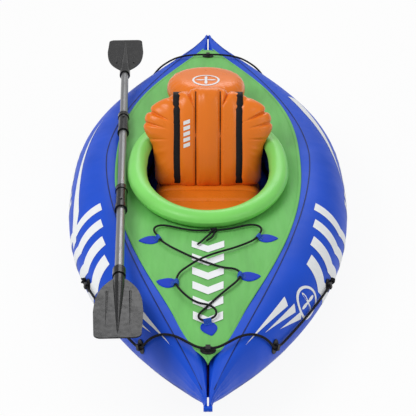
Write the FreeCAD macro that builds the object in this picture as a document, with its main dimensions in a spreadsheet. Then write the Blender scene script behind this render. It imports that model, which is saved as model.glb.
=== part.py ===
"""One-person inflatable kayak with a two-bladed paddle, as a parametric FreeCAD document.

Frame: millimetres, +Z up, origin on the ground under the middle of the hull. The bow points
along -Y and the stern along +Y. Port is +X and starboard is -X for a paddler facing the bow.
"""
import FreeCAD, Part
import Sketcher
import math
import os
from FreeCAD import Placement, Rotation, Vector

X_AXIS = Vector(1, 0, 0)
Y_AXIS = Vector(0, 1, 0)
Z_AXIS = Vector(0, 0, 1)
ORIGIN = Vector(0, 0, 0)
STARBOARD = -1
PORT = 1

# ---------------------------------------------------------------- driving dimensions
DRIVING = {
    # hull tubes
    "hull_length": 2900.0,
    "hull_half_width": 508.6,
    "seam_half_width": 363.3,
    "seam_tip_half_width": 6.0,
    "tube_height": 299.4,
    "tube_inner_reach": 118.0,
    "tube_meeting_gap": 2.0,
    "sheer_drop": 88.4,
    "keel_rise": 206.3,
    "keel_flat_share": 0.42,
    "tip_half_height": 15.0,
    # bottom skin and floor
    "skin_thickness": 1.7,
    "skin_inset": 20.0,
    "skin_end": 1300.0,
    "floor_thickness": 75.0,
    "floor_half_length": 600.0,
    "floor_side_gap": 3.0,
    # deck
    "deck_half_width": 339.2,
    "deck_reach_share": 0.9342,
    "deck_bow_end": 1310.0,
    "deck_stern_end": 1225.0,
    "deck_thickness": 1.5,
    "deck_seat_gap": 0.6,
    "deck_crown": 8.0,
    "deck_dip": 33.0,
    "deck_dip_length": 300.0,
    # coaming
    "coaming_tube_reach": 34.0,
    "coaming_tube_rise": 28.0,
    "coaming_half_width": 255.0,
    "coaming_half_length": 370.0,
    "coaming_centre": -150.0,
    "coaming_pitch": 1.0,
    "coaming_deck_lap": 12.0,
    "coaming_gap": 0.5,
    # seat
    "seat_width": 396.0,
    "seat_front": -420.0,
    "seat_rear": 95.0,
    "seat_thickness": 119.0,
    "seat_round": 26.0,
    "back_base": -60.0,
    "back_lean": 20.0,
    "back_height": 362.0,
    "back_side_gap": 23.0,
    "back_front_swell": 12.0,
    "back_thickness": 97.0,
    "strap_offset": 113.5,
    "strap_width": 30.0,
    "strap_thickness": 2.0,
    # rear pillow
    "pillow_half_width": 155.0,
    "pillow_half_length": 154.0,
    "pillow_thickness": 114.0,
    "pillow_centre": 505.0,
    "pillow_offset": -8.0,
    "pillow_pitch": 2.4,
    "pillow_round": 48.0,
    # ropes and their fittings
    "line_diameter": 8.0,
    "lace_diameter": 7.0,
    "holder_length": 48.0,
    "holder_width": 36.0,
    "holder_plate": 2.5,
    "holder_bridge_length": 15.0,
    "holder_bridge_width": 20.0,
    "holder_bridge_height": 15.0,
    "line_hole_clearance": 1.0,
    "tab_length": 66.0,
    "tab_width": 50.0,
    "tab_thickness": 1.5,
    "tab_loop_length": 14.0,
    "tab_loop_wall": 1.5,
    "tab_loop_sink": 1.0,
    "lace_hole_clearance": 2.0,
    "knot_half_length": 12.0,
    "knot_half_height": 7.0,
    "tip_tab_width": 26.0,
    "tip_tab_reach": 12.0,
    "tip_tab_height": 14.0,
    # valves
    "valve_base_radius": 24.0,
    "valve_base_height": 4.0,
    "valve_cap_radius": 18.0,
    "valve_cap_height": 9.0,
    "stopper_base_radius": 11.0,
    "stopper_plug_radius": 7.5,
    "stopper_height": 7.0,
    # paddle
    "paddle_length": 2378.0,
    "paddle_offset": -311.8,
    "paddle_middle": -82.0,
    "paddle_yaw": 2.25,
    "shaft_radius": 15.0,
    "shaft_wall": 1.3,
    "coupling_distance": 311.0,
    "coupling_length": 160.0,
    "coupling_radius": 19.5,
    "coupling_collar_radius": 22.0,
    "coupling_collar_length": 26.0,
    "coupling_fit": 0.2,
    "shaft_end_gap": 4.0,
    "button_radius": 4.5,
    "button_offset": 30.0,
    "button_stand": 3.0,
    "button_travel": 2.0,
    "blade_length": 392.0,
    "blade_half_width": 76.0,
    "blade_thickness": 4.0,
    "blade_shoulder": 250.0,
    "blade_tip_half_width": 71.0,
    "blade_neck": 52.0,
    "blade_corner": 22.0,
    "socket_radius": 18.0,
    "socket_depth": 95.0,
    "socket_fit": 0.2,
    "rib_offset": 36.0,
    "rib_start": 130.0,
    "rib_radius": 4.5,
    "blade_collar_radius": 21.5,
    "blade_collar_length": 42.0,
    # clearances
    "soft_gap": 0.3,
    "fit_gap": 0.2,
}

doc = FreeCAD.newDocument("inflatable_kayak")
sheet = doc.addObject("Spreadsheet::Sheet", "sizes")
for row, (alias, number) in enumerate(DRIVING.items(), start=1):
    sheet.set("A%d" % row, alias)
    sheet.set("B%d" % row, str(number))
    sheet.setAlias("B%d" % row, alias)
doc.recompute()
SUB_PARTS = []


def size(alias):
    """The number in the sheet's cell of that name."""
    return float(sheet.get(alias))


def bind(feature, prop, expression):
    """Tie a property to the sheet; bare aliases in the expression are written as {alias}."""
    words = expression.replace("{", "<<sizes>>.").replace("}", "")
    feature.setExpression(prop, words)


def keep(feature, label):
    """Name a finished sub-part: its Label is its node and its file."""
    feature.Label = label
    SUB_PARTS.append(feature)
    return feature


def shaped(label, shape, placement=None):
    """A sub-part whose surface follows a formula, as a Part::Feature."""
    feature = doc.addObject("Part::Feature", label)
    feature.Shape = shape
    if placement is not None:
        feature.Placement = placement
    return keep(feature, label)


def spline(points, closed=False):
    """A smooth curve through the points, as one edge."""
    curve = Part.BSplineCurve()
    curve.interpolate([Vector(*p) for p in points], PeriodicFlag=closed)
    return curve.toShape()


def prism(face_wire, height):
    """A closed flat wire, filled and raised along +Z."""
    return Part.Face(face_wire).extrude(Vector(0, 0, height))


# ---------------------------------------------------------------- hull surface
HALF_LENGTH = size("hull_length") / 2
SHEER_POWER = 1.38
KEEL_POWER = 2.5
SEAM_POWERS = (1.769, 1.295)
OUTER_POWERS = (2.534, 1.485)
DECK_POWERS = (2.374, 1.609)
CHINE_POWER = 0.1865
MIN_SHOULDER = 4.0
MEETING_POWER = 6


def taper(share, powers):
    """Width share at a station: (1 - |share|^p)^q, nought past the end."""
    return max(0.0, 1 - abs(share) ** powers[0]) ** powers[1]


def keel(y):
    """Height of the bottom: flat amidships, then rising as a power towards each tip."""
    share = abs(y) / HALF_LENGTH
    rise = max(0.0, (share - size("keel_flat_share")) / (1 - size("keel_flat_share")))
    return size("keel_rise") * rise ** KEEL_POWER


def tube_lift():
    """How far a tube's lowest line stands above the ground, on the edge of the bottom skin."""
    curve = math.sqrt(1 - (size("skin_inset") / size("tube_inner_reach")) ** 2)
    roll = size("tube_height") / 2 * (1 - curve)
    return max(size("skin_thickness") + size("soft_gap") - roll, 0.2)


LIFT = tube_lift()


def station(y):
    """Section sizes at y: seam, outer and inner reach from the centre, mid height, half height."""
    share = min(abs(y) / HALF_LENGTH, 1.0)
    top = size("tube_height") - size("sheer_drop") * share ** SHEER_POWER
    half = max((top - keel(y) - LIFT) / 2, size("tip_half_height"))
    seam = size("seam_half_width") * taper(share, SEAM_POWERS) + size("seam_tip_half_width")
    outer = size("hull_half_width") * taper(share, OUTER_POWERS)
    outer = max(outer, seam + MIN_SHOULDER)
    room, reach = seam - size("tube_meeting_gap"), size("tube_inner_reach")
    inner = room * reach / (room ** MEETING_POWER + reach ** MEETING_POWER) ** (1 / MEETING_POWER)
    return {"share": share, "seam": seam, "outer": outer, "inner": inner,
            "middle": top - half, "half": half}


def inner_power(share):
    """Exponent of the upper inner quarter: round amidships, squarer where the tubes meet."""
    return 2 + 2 * share ** 4


def section_point(y, angle):
    """A point of the port tube's section; angle 0 faces outboard and 90 degrees up."""
    s = station(y)
    cos, sin = math.cos(angle), math.sin(angle)
    if cos >= 0:
        power = 1 + (CHINE_POWER * s["share"] ** 3 if sin < 0 else 0)
        return Vector(s["seam"] + (s["outer"] - s["seam"]) * cos ** power, y,
                      s["middle"] + s["half"] * sin)
    power = 2 / inner_power(s["share"]) if sin > 0 else 1
    height = math.copysign(abs(sin) ** power, sin)
    return Vector(s["seam"] - s["inner"] * abs(cos) ** power, y, s["middle"] + s["half"] * height)


def tube_top(x, y):
    """Height of the tube's upper surface at a distance x from the centre line."""
    s = station(y)
    if x >= s["seam"]:
        share = min((x - s["seam"]) / (s["outer"] - s["seam"]), 1.0)
        return s["middle"] + s["half"] * math.sqrt(1 - share ** 2)
    power = inner_power(s["share"])
    share = min((s["seam"] - x) / s["inner"], 1.0)
    return s["middle"] + s["half"] * (1 - share ** power) ** (1 / power)


def tube_inner_face(y, z):
    """Distance of the tube's lower inner surface from the centre line at height z."""
    s = station(y)
    drop = min(max((s["middle"] - z) / s["half"], 0.0), 1.0)
    return s["seam"] - s["inner"] * math.sqrt(1 - drop ** 2)


TUBE_STATIONS = 18
SECTION_POINTS = 28


def hull_tube():
    """The port tube, lofted through closed sections that crowd towards the tips."""
    sections = []
    for index in range(TUBE_STATIONS + 1):
        y = -HALF_LENGTH * math.cos(math.pi * index / TUBE_STATIONS)
        angles = [2 * math.pi * k / SECTION_POINTS for k in range(SECTION_POINTS)]
        sections.append(Part.Wire(spline([section_point(y, a) for a in angles], closed=True)))
    return Part.makeLoft(sections, True, False)


def make_tubes():
    port = hull_tube()
    shaped("port_side_tube", port)
    shaped("starboard_side_tube", port.mirror(ORIGIN, X_AXIS))


# ---------------------------------------------------------------- bottom skin and floor
def plan_wire(half_width, start, end, count, z=0.0):
    """A closed outline, mirrored about the centre line, from a half width at each y."""
    ys = [start + (end - start) * k / count for k in range(count + 1)]
    right = [(half_width(y), y, z) for y in ys]
    left = [(-x, y, z) for x, y, z in reversed(right)]
    edges = [spline(right), Part.makeLine(Vector(*right[-1]), Vector(*left[0])), spline(left)]
    edges.append(Part.makeLine(Vector(*left[-1]), Vector(*right[0])))
    return Part.Wire(edges)


SKIN_CURVE_POINTS = 6
PLAN_POINTS = 16


def make_bottom_skin():
    """A flat panel amidships that curves up under both ends, cut to the seam's plan."""
    flat = size("keel_flat_share") * HALF_LENGTH
    end = size("skin_end")
    steps = range(SKIN_CURVE_POINTS + 1)
    rising = [flat + (end - flat) * k / SKIN_CURVE_POINTS for k in steps]
    edges = []
    for lift in (0.0, size("skin_thickness")):
        bow = spline([(0, -y, keel(y) + lift) for y in reversed(rising)])
        stern = spline([(0, y, keel(y) + lift) for y in rising])
        edges += [bow, Part.makeLine(Vector(0, -flat, lift), Vector(0, flat, lift)), stern]
    for y in (-end, end):
        low = Vector(0, y, keel(y))
        edges.append(Part.makeLine(low, low + Vector(0, 0, size("skin_thickness"))))
    profile = Part.Face(Part.Wire(Part.__sortEdges__(edges)))
    half = size("hull_half_width")
    profile.translate(Vector(-half, 0, 0))
    slab = profile.extrude(Vector(2 * half, 0, 0))

    def half_width(y):
        return station(y)["seam"] - size("skin_inset")

    plan = prism(plan_wire(half_width, -end, end, PLAN_POINTS, z=-10.0), size("tube_height"))
    shaped("bottom_skin", slab.common(plan))


def floor_bottom():
    return size("skin_thickness") + size("soft_gap")


def floor_top():
    return floor_bottom() + size("floor_thickness")


def make_floor():
    """The air floor, between the tubes and on the skin."""
    def half_width(y):
        return tube_inner_face(y, floor_top()) - size("floor_side_gap")

    reach = size("floor_half_length")
    outline = plan_wire(half_width, -reach, reach, PLAN_POINTS, z=floor_bottom())
    shaped("floor_mat", prism(outline, size("floor_thickness")))


# ---------------------------------------------------------------- deck and coaming
def deck_half_width(y):
    """Half width of the deck cloth; its edge runs inboard of the tube seam."""
    return size("deck_half_width") * taper(y / (HALF_LENGTH * size("deck_reach_share")), DECK_POWERS)


def deck_crown(y):
    """Rise of the deck's middle over its edges: pressed down round the cockpit."""
    distance = (y - size("coaming_centre")) / size("deck_dip_length")
    return size("deck_crown") - size("deck_dip") * math.exp(-distance ** 2)


def deck_under(x, y):
    """Height of the deck's lower surface: a parabola between its two edges."""
    edge = max(deck_half_width(y), 1.0)
    base = tube_top(edge, y) + size("deck_seat_gap")
    return base + deck_crown(y) * (1 - (x / edge) ** 2)


def deck_top(x, y):
    return deck_under(x, y) + size("deck_thickness")


DECK_STATIONS = 16
DECK_SPANS = 8
BOW_POWER = 2.0
STERN_POWER = 2.6
RING_POINTS = 32


def coaming_point(angle, inset=0.0):
    """The ring's centre line: a superellipse, rounder at the bow end than at the stern end."""
    power = STERN_POWER if math.sin(angle) > 0 else BOW_POWER
    cos, sin = math.cos(angle), math.sin(angle)
    across = math.copysign(abs(cos) ** (2 / power), cos)
    along = math.copysign(abs(sin) ** (2 / power), sin)
    return ((size("coaming_half_width") - inset) * across,
            size("coaming_centre") + (size("coaming_half_length") - inset) * along)


def ring_angles():
    return [2 * math.pi * k / RING_POINTS for k in range(RING_POINTS)]


def make_deck():
    """The deck cloth, lofted from thin sections, with the cockpit opening cut out."""
    start, end = -size("deck_bow_end"), size("deck_stern_end")
    sections = []
    for index in range(DECK_STATIONS + 1):
        y = start + (end - start) * index / DECK_STATIONS
        edge = deck_half_width(y)
        xs = [edge * (2 * k / DECK_SPANS - 1) for k in range(DECK_SPANS + 1)]
        low = [Vector(x, y, deck_under(x, y)) for x in xs]
        high = [Vector(x, y, deck_top(x, y)) for x in reversed(xs)]
        edges = [spline(low), Part.makeLine(low[-1], high[0]), spline(high)]
        edges.append(Part.makeLine(high[-1], low[0]))
        sections.append(Part.Wire(edges))
    cloth = Part.makeLoft(sections, True, False)
    lap = size("coaming_deck_lap")
    outline = Part.Wire(spline([coaming_point(a, lap) + (0.0,) for a in ring_angles()], closed=True))
    shaped("deck_cover", cloth.cut(prism(outline, 2 * size("tube_height"))))


def coaming_height(y):
    """Height of the ring's centre line: the lowest tilted plane that clears the deck."""
    slope = math.tan(math.radians(size("coaming_pitch")))
    centre = size("coaming_centre")
    points = [coaming_point(a) for a in ring_angles()]
    base = max(deck_top(x, py) - slope * (py - centre) for x, py in points)
    return base + size("coaming_gap") + size("coaming_tube_rise") + slope * (y - centre)


def make_coaming():
    """The inflated ring round the cockpit: a low oval carried along the closed centre line."""
    heights = coaming_height(0.0), coaming_height(1.0)
    points = [coaming_point(a) for a in ring_angles()]
    line = [(x, y, heights[0] + (heights[1] - heights[0]) * y) for x, y in points]
    path = Part.Wire(spline(line, closed=True))
    start = Vector(*line[0])
    wide = start + Vector(size("coaming_tube_reach"), 0, 0)
    high = start + Vector(0, 0, size("coaming_tube_rise"))
    sweep = Part.BRepOffsetAPI.MakePipeShell(path)
    sweep.setBiNormalMode(Z_AXIS)
    sweep.add(Part.Wire(Part.Ellipse(wide, high, start).toShape()))
    sweep.build()
    sweep.makeSolid()
    shaped("coaming_ring", sweep.shape())


# ---------------------------------------------------------------- seat, backrest and pillow
def role_plane(body, role):
    """One of a body's own origin planes, found by its role."""
    return [f for f in body.Origin.OriginFeatures if f.Role == role][0]


def new_body(label):
    body = doc.addObject("PartDesign::Body", label)
    return keep(body, label)


def new_sketch(body, name, role="XY_Plane", height=None):
    """A sketch on one of the body's planes, raised by an expression if one is given."""
    sketch = body.newObject("Sketcher::SketchObject", name)
    sketch.AttachmentSupport = [(role_plane(body, role), "")]
    sketch.MapMode = "FlatFace"
    if height is not None:
        bind(sketch, ".AttachmentOffset.Base.z", height)
    return sketch


def add_pad(body, sketch, length, both_ways=False):
    pad = body.newObject("PartDesign::Pad", sketch.Name + "_pad")
    pad.Profile = sketch
    bind(pad, "Length", length)
    pad.Midplane = both_ways
    return pad


def rectangle(sketch, width, depth, centre=(0.0, 0.0)):
    """A rectangle about a point, with its two sizes bound to the sheet."""
    cx, cy = centre
    corners = [Vector(cx + sx, cy + sy, 0) for sx, sy in ((-5, -5), (5, -5), (5, 5), (-5, 5))]
    for k in range(4):
        sketch.addGeometry(Part.LineSegment(corners[k], corners[(k + 1) % 4]), False)
    for k in range(4):
        sketch.addConstraint(Sketcher.Constraint("Coincident", k, 2, (k + 1) % 4, 1))
    for k, kind in enumerate(("Horizontal", "Vertical", "Horizontal", "Vertical")):
        sketch.addConstraint(Sketcher.Constraint(kind, k))
    wide = sketch.addConstraint(Sketcher.Constraint("DistanceX", 0, 1, 0, 2, 10.0))
    deep = sketch.addConstraint(Sketcher.Constraint("DistanceY", 1, 1, 1, 2, 10.0))
    left = sketch.addConstraint(Sketcher.Constraint("DistanceX", -1, 1, 0, 1, cx - 5.0))
    low = sketch.addConstraint(Sketcher.Constraint("DistanceY", -1, 1, 0, 1, cy - 5.0))
    for index, text in ((wide, width), (deep, depth)):
        bind(sketch, "Constraints[%d]" % index, text)
    bind(sketch, "Constraints[%d]" % left, "%r - (%s) / 2" % (cx, width))
    bind(sketch, "Constraints[%d]" % low, "%r - (%s) / 2" % (cy, depth))


def circle(sketch, radius, centre=(0.0, 0.0)):
    """A circle about a point, with its radius bound to the sheet."""
    index = sketch.addGeometry(Part.Circle(Vector(*centre, 0), Z_AXIS, 5.0), False)
    bound = sketch.addConstraint(Sketcher.Constraint("Radius", index, 5.0))
    if centre == (0.0, 0.0):
        sketch.addConstraint(Sketcher.Constraint("Coincident", index, 3, -1, 1))
    else:
        sketch.addConstraint(Sketcher.Constraint("DistanceX", -1, 1, index, 3, centre[0]))
        sketch.addConstraint(Sketcher.Constraint("DistanceY", -1, 1, index, 3, centre[1]))
    bind(sketch, "Constraints[%d]" % bound, radius)


def seat_top():
    return floor_top() + size("soft_gap") + size("seat_thickness")


def make_seat():
    """The seat cushion: a rounded block on the air floor."""
    body = new_body("seat_cushion")
    outline = new_sketch(body, "seat_outline")
    rectangle(outline, "{seat_width}", "{seat_rear} - {seat_front}")
    pad = add_pad(body, outline, "{seat_thickness}")
    doc.recompute()
    rounding = body.newObject("PartDesign::Fillet", "seat_rounding")
    rounding.Base = (pad, ["Edge%d" % (k + 1) for k in range(len(pad.Shape.Edges))])
    bind(rounding, "Radius", "{seat_round}")
    middle = (size("seat_rear") + size("seat_front")) / 2
    body.Placement = Placement(Vector(0, middle, floor_top() + size("soft_gap")), Rotation())


def back_placement():
    """The backrest's frame: X across, Y up the back, Z out of its front."""
    turn = Rotation(X_AXIS, 90 - size("back_lean"))
    return Placement(Vector(0, size("back_base"), seat_top() + 1.5 * size("soft_gap")), turn)


# Half outline of the backrest: (half width, height up the back), for a 362 mm tall back.
BACK_OUTLINE = ((0, 0), (120, 0), (188, 4), (198, 40), (198, 100), (207, 150), (231, 188),
                (239, 228), (224, 272), (190, 308), (140, 333), (75, 353), (0, 362))
BACK_OUTLINE_HEIGHT = 362.0
BACK_OUTLINE_WAIST = 198.0
BACK_RINGS = ((0.90, 1.0), (1.0, 0.0), (0.70, -1.0))


def back_ring(scale, depth):
    """The backrest's outline shrunk about its middle, at a depth along its Z."""
    stretch = size("back_height") / BACK_OUTLINE_HEIGHT
    centre = size("back_height") / 2
    waist = size("coaming_half_width") - size("coaming_tube_reach") - size("back_side_gap")
    widen = waist / BACK_OUTLINE_WAIST
    half = [(x * widen * scale, centre + (y * stretch - centre) * scale, depth)
            for x, y in BACK_OUTLINE]
    mirrored = [(-x, y, z) for x, y, z in reversed(half[1:-1])]
    return Part.Wire(spline(half + mirrored, closed=True))


def make_backrest():
    """The backrest pad: widest a little behind its front face, narrow at the back."""
    swell = size("back_front_swell")
    depth = size("back_thickness") - swell
    wires = [back_ring(scale, swell * max(side, 0) + depth * min(side, 0))
             for scale, side in BACK_RINGS]
    pad = Part.makeLoft(wires, True, True)
    reach = 2 * size("back_height")
    above_seat = Part.makeBox(2 * reach, 2 * reach, reach,
                              Vector(-reach, -reach, seat_top() + size("soft_gap")))
    above_seat.Placement = back_placement().inverse()
    shaped("backrest", pad.common(above_seat), back_placement())


STRAP_FOOT = 24.0
STRAP_BEND = 24.0
STRAP_TAIL = 60.0
STRAP_SHOULDER = 36.0


def make_straps():
    """Two webbing straps up the front of the backrest, over its top and down its back."""
    gap = 2 * size("soft_gap")
    web = size("strap_thickness")
    front = size("back_front_swell") + gap
    top = size("back_height") - 4.0
    for name, side in (("starboard", STARBOARD), ("port", PORT)):
        inner = [(STRAP_FOOT, front), (top - STRAP_BEND, front), (top, 2.0),
                 (top, -STRAP_SHOULDER), (top - STRAP_TAIL, -100.0)]
        outer = [(y + web * shift, z + web * rise) for (y, z), (shift, rise) in
                 zip(inner, ((0, 1), (0.5, 1), (1, 0.5), (1, 0), (1, 0)))]
        corners = [Vector(0, y, z) for y, z in inner + outer[::-1]]
        face = Part.Face(Part.makePolygon(corners + corners[:1]))
        face.translate(Vector(side * size("strap_offset") - size("strap_width") / 2, 0, 0))
        strip = face.extrude(Vector(size("strap_width"), 0, 0))
        shaped("backrest_strap_" + name, strip, back_placement())


def pillow_base():
    """Height of the pillow's underside at its middle, clear of the deck under its footprint."""
    slope = math.tan(math.radians(size("pillow_pitch")))
    centre, reach, wide = (size("pillow_centre"), size("pillow_half_length"),
                           size("pillow_half_width"))
    highest = max(deck_top(wide * u / 4, centre + reach * v / 4) + slope * reach * v / 4
                  for u in range(-4, 5) for v in range(-4, 5) if u * u + v * v <= 16)
    return highest + size("soft_gap")


def pillow_placement():
    turn = Rotation(X_AXIS, -size("pillow_pitch"))
    return Placement(Vector(size("pillow_offset"), size("pillow_centre"), pillow_base()), turn)


def make_pillow():
    """The oval pillow on the stern deck."""
    body = new_body("rear_pillow")
    outline = new_sketch(body, "pillow_outline")
    wide, long = size("pillow_half_width"), size("pillow_half_length")
    outline.addGeometry(Part.Ellipse(ORIGIN, wide, long), False)
    pad = add_pad(body, outline, "{pillow_thickness}")
    doc.recompute()
    rounding = body.newObject("PartDesign::Fillet", "pillow_rounding")
    caps = [f for f in pad.Shape.Faces if isinstance(f.Surface, Part.Plane)]
    names = ["Edge%d" % (k + 1) for k, edge in enumerate(pad.Shape.Edges)
             if any(edge.isSame(e) for cap in caps for e in cap.Edges)]
    rounding.Base = (pad, names)
    bind(rounding, "Radius", "{pillow_round}")
    body.Placement = pillow_placement()


# ---------------------------------------------------------------- fittings on the surface
def frame_at(point, normal, along):
    """A placement whose Z is the surface normal and whose X is nearest to a direction."""
    z = Vector(normal).normalize()
    x = (along - z * along.dot(z)).normalize()
    return Placement(point, Rotation(x, z.cross(x), z, "ZXY"))


def hull_frame(side, y, degrees, lift, along):
    """A frame on a tube's skin at a station and an angle round the tube."""
    angle = math.radians(degrees)
    step = 0.01
    point = section_point(y, angle)
    round_way = section_point(y, angle + step) - section_point(y, angle - step)
    long_way = section_point(y + 1, angle) - section_point(y - 1, angle)
    normal = long_way.cross(round_way).normalize()
    if normal.dot(Vector(math.cos(angle), 0, math.sin(angle))) < 0:
        normal = normal * -1
    point = point + normal * lift
    mirror = Vector(side * point.x, point.y, point.z)
    return frame_at(mirror, Vector(side * normal.x, normal.y, normal.z), along)


def deck_frame(x, y, lift, along):
    """A frame on the deck cloth."""
    step = 1.0
    slope_x = (deck_top(x + step, y) - deck_top(x - step, y)) / (2 * step)
    slope_y = (deck_top(x, y + step) - deck_top(x, y - step)) / (2 * step)
    normal = Vector(-slope_x, -slope_y, 1).normalize()
    return frame_at(Vector(x, y, deck_top(x, y)) + normal * lift, normal, along)


def make_holder(label, placement, crosswise):
    """A rope holder: an oval rubber plate with a bridge, bored along X for the rope."""
    body = new_body(label)
    plate = new_sketch(body, label + "_plate")
    long_end = Vector(0, size("holder_length") / 2, 0)
    short_end = Vector(-size("holder_width") / 2, 0, 0)
    if not crosswise:
        long_end, short_end = Vector(long_end.y, 0, 0), Vector(0, -short_end.x, 0)
    plate.addGeometry(Part.Ellipse(long_end, short_end, ORIGIN), False)
    add_pad(body, plate, "{holder_plate}")
    bridge = new_sketch(body, label + "_bridge")
    rectangle(bridge, "{holder_bridge_length}", "{holder_bridge_width}")
    add_pad(body, bridge, "{holder_bridge_height}")
    doc.recompute()
    bore = new_sketch(body, label + "_bore", "YZ_Plane")
    circle(bore, "{line_diameter} / 2 + {line_hole_clearance}", (0.0, line_height()))
    add_through_hole(body, bore)
    body.Placement = placement


def add_through_hole(body, sketch):
    """Cut a sketch right through the body, both ways."""
    hole = body.newObject("PartDesign::Pocket", sketch.Name + "_hole")
    hole.Profile = sketch
    hole.Type = "ThroughAll"
    hole.Midplane = True


def line_height():
    """Height of the rope's centre over the underside of a holder's plate."""
    return size("holder_plate") + size("line_diameter") / 2 + 1.5


# Holders on the tubes: station, degrees round the tube, and the way the rope leaves amidships.
HULL_HOLDERS = {
    "bow_inner": (-1062.0, 4.0, (0.47, 0.80, -0.35)),
    "bow_outer": (-690.0, 6.0, (0.38, 0.92, 0.03)),
    "stern_inner": (962.0, 4.0, (0.45, -0.86, -0.26)),
    "stern_outer": (690.0, 6.0, (0.38, -0.92, 0.03)),
}
CENTRE_HOLDERS = {"bow": -1214.0, "stern": 1094.0}


def make_holders():
    lift = size("soft_gap")
    for name, (y, degrees, heading) in HULL_HOLDERS.items():
        for word, side in (("starboard", STARBOARD), ("port", PORT)):
            along = Vector(side * heading[0], heading[1], heading[2])
            place = hull_frame(side, y, degrees, lift, along)
            make_holder("line_holder_%s_%s" % (name, word), place, True)
    for name, y in CENTRE_HOLDERS.items():
        make_holder("line_holder_%s_centre" % name, deck_frame(0.0, y, lift, X_AXIS), False)


PETAL_ALONG = (0.0, 0.06, 0.22, 0.42, 0.7, 1.0)
PETAL_ACROSS = (0.26, 0.42, 0.5, 0.46, 0.24, 0.03)


def petal_edges(twist):
    """A leaf outline from its blunt inner end to its point, turned about the origin."""
    length, width = size("tab_length"), size("tab_width")
    turn = Rotation(Z_AXIS, twist)
    upper = [turn.multVec(Vector(length * u, width * v, 0))
             for u, v in zip(PETAL_ALONG, PETAL_ACROSS)]
    lower = [turn.multVec(Vector(length * u, -width * v, 0))
             for u, v in zip(PETAL_ALONG[::-1], PETAL_ACROSS[::-1])]
    return [spline([tuple(p) for p in upper]), Part.makeLine(upper[-1], lower[0]),
            spline([tuple(p) for p in lower]), Part.makeLine(lower[-1], upper[0])]


def sketch_geometry(edge):
    """The curve under an edge, in the form that a sketch takes."""
    if isinstance(edge.Curve, Part.Line):
        return Part.LineSegment(edge.Vertexes[0].Point, edge.Vertexes[-1].Point)
    if isinstance(edge.Curve, Part.Circle):
        return Part.ArcOfCircle(edge.Curve, *edge.ParameterRange)
    return edge.Curve


def loop_height():
    """Height of the lace's centre over the underside of a tab."""
    bore = size("lace_diameter") / 2 + size("lace_hole_clearance")
    return size("tab_thickness") + bore + size("tab_loop_wall") - size("tab_loop_sink")


def make_tab(label, x, y, lacing, pointing):
    """A lacing tab: a leaf-shaped patch with a loop across its inner end."""
    across = lacing - 90 if math.cos(math.radians(lacing - 90 - pointing)) > 0 else lacing + 90
    body = new_body(label)
    leaf = new_sketch(body, label + "_leaf")
    for edge in petal_edges(pointing - across):
        leaf.addGeometry(sketch_geometry(edge), False)
    add_pad(body, leaf, "{tab_thickness}")
    loop = new_sketch(body, label + "_loop", "XZ_Plane")
    bore = "{lace_diameter} / 2 + {lace_hole_clearance}"
    circle(loop, bore + " + {tab_loop_wall}", (0.0, loop_height()))
    add_pad(body, loop, "{tab_loop_length}", both_ways=True)
    doc.recompute()
    eye = new_sketch(body, label + "_eye", "XZ_Plane")
    circle(eye, bore, (0.0, loop_height()))
    add_through_hole(body, eye)
    angle = math.radians(across)
    body.Placement = deck_frame(x, y, size("soft_gap"), Vector(math.cos(angle), math.sin(angle), 0))


# Lacing tabs: x and y of the loop, the lace's heading through it, and the leaf's, in degrees.
TABS = {
    "lace_tab_starboard_rear": (-164.0, -608.0, -69.0, 184.0),
    "lace_tab_starboard_front": (-101.5, -872.0, 88.0, 160.0),
    "lace_tab_port_rear": (167.0, -600.0, 66.0, 2.0),
    "lace_tab_port_front": (103.0, -832.0, -94.0, 9.0),
    "lace_tab_centre": (-3.0, -1077.0, 17.0, -78.0),
}


def make_tabs():
    for label, (x, y, lacing, pointing) in TABS.items():
        make_tab(label, x, y, lacing, pointing)


def make_tip_tabs():
    """The small welded lug at each tip, where the tubes' seams end."""
    for label, end in (("bow_tip_lug", -1), ("stern_tip_lug", 1)):
        body = new_body(label)
        outline = new_sketch(body, label + "_outline", "XZ_Plane")
        rectangle(outline, "{tip_tab_width}", "{tip_tab_height}")
        pad = add_pad(body, outline, "{tip_tab_reach}")
        doc.recompute()
        rounding = body.newObject("PartDesign::Fillet", label + "_rounding")
        far = [k for k, edge in enumerate(pad.Shape.Edges)
               if abs(edge.Vertexes[0].Point.y) > 1 and abs(edge.Vertexes[-1].Point.y) > 1]
        rounding.Base = (pad, ["Edge%d" % (k + 1) for k in far])
        bind(rounding, "Radius", "{tip_tab_height} / 3")
        turn = Rotation() if end < 0 else Rotation(Z_AXIS, 180)
        height = station(HALF_LENGTH)["middle"]
        seat = end * (HALF_LENGTH + size("soft_gap"))
        body.Placement = Placement(Vector(0, seat, height), turn)


# ---------------------------------------------------------------- valves
def turned(label, profile, placement):
    """A round piece: its half profile, as (radius, height) steps, turned about Z."""
    body = new_body(label)
    half = new_sketch(body, label + "_profile", "XZ_Plane")
    corners = [Vector(r, z, 0) for r, z in profile]
    for k, corner in enumerate(corners):
        half.addGeometry(Part.LineSegment(corner, corners[(k + 1) % len(corners)]), False)
    spin = body.newObject("PartDesign::Revolution", label + "_turn")
    spin.Profile = half
    spin.ReferenceAxis = (half, ["V_Axis"])
    spin.Angle = 360
    body.Placement = placement
    return body


def valve_base(label, placement):
    """A screw valve's moulded base: a flange with a raised threaded seat."""
    wide, cap = size("valve_base_radius"), size("valve_cap_radius")
    high = size("valve_base_height")
    profile = ((0, 0), (wide, 0), (wide, high / 2), (cap, high), (0, high))
    turned(label, profile, placement)


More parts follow.
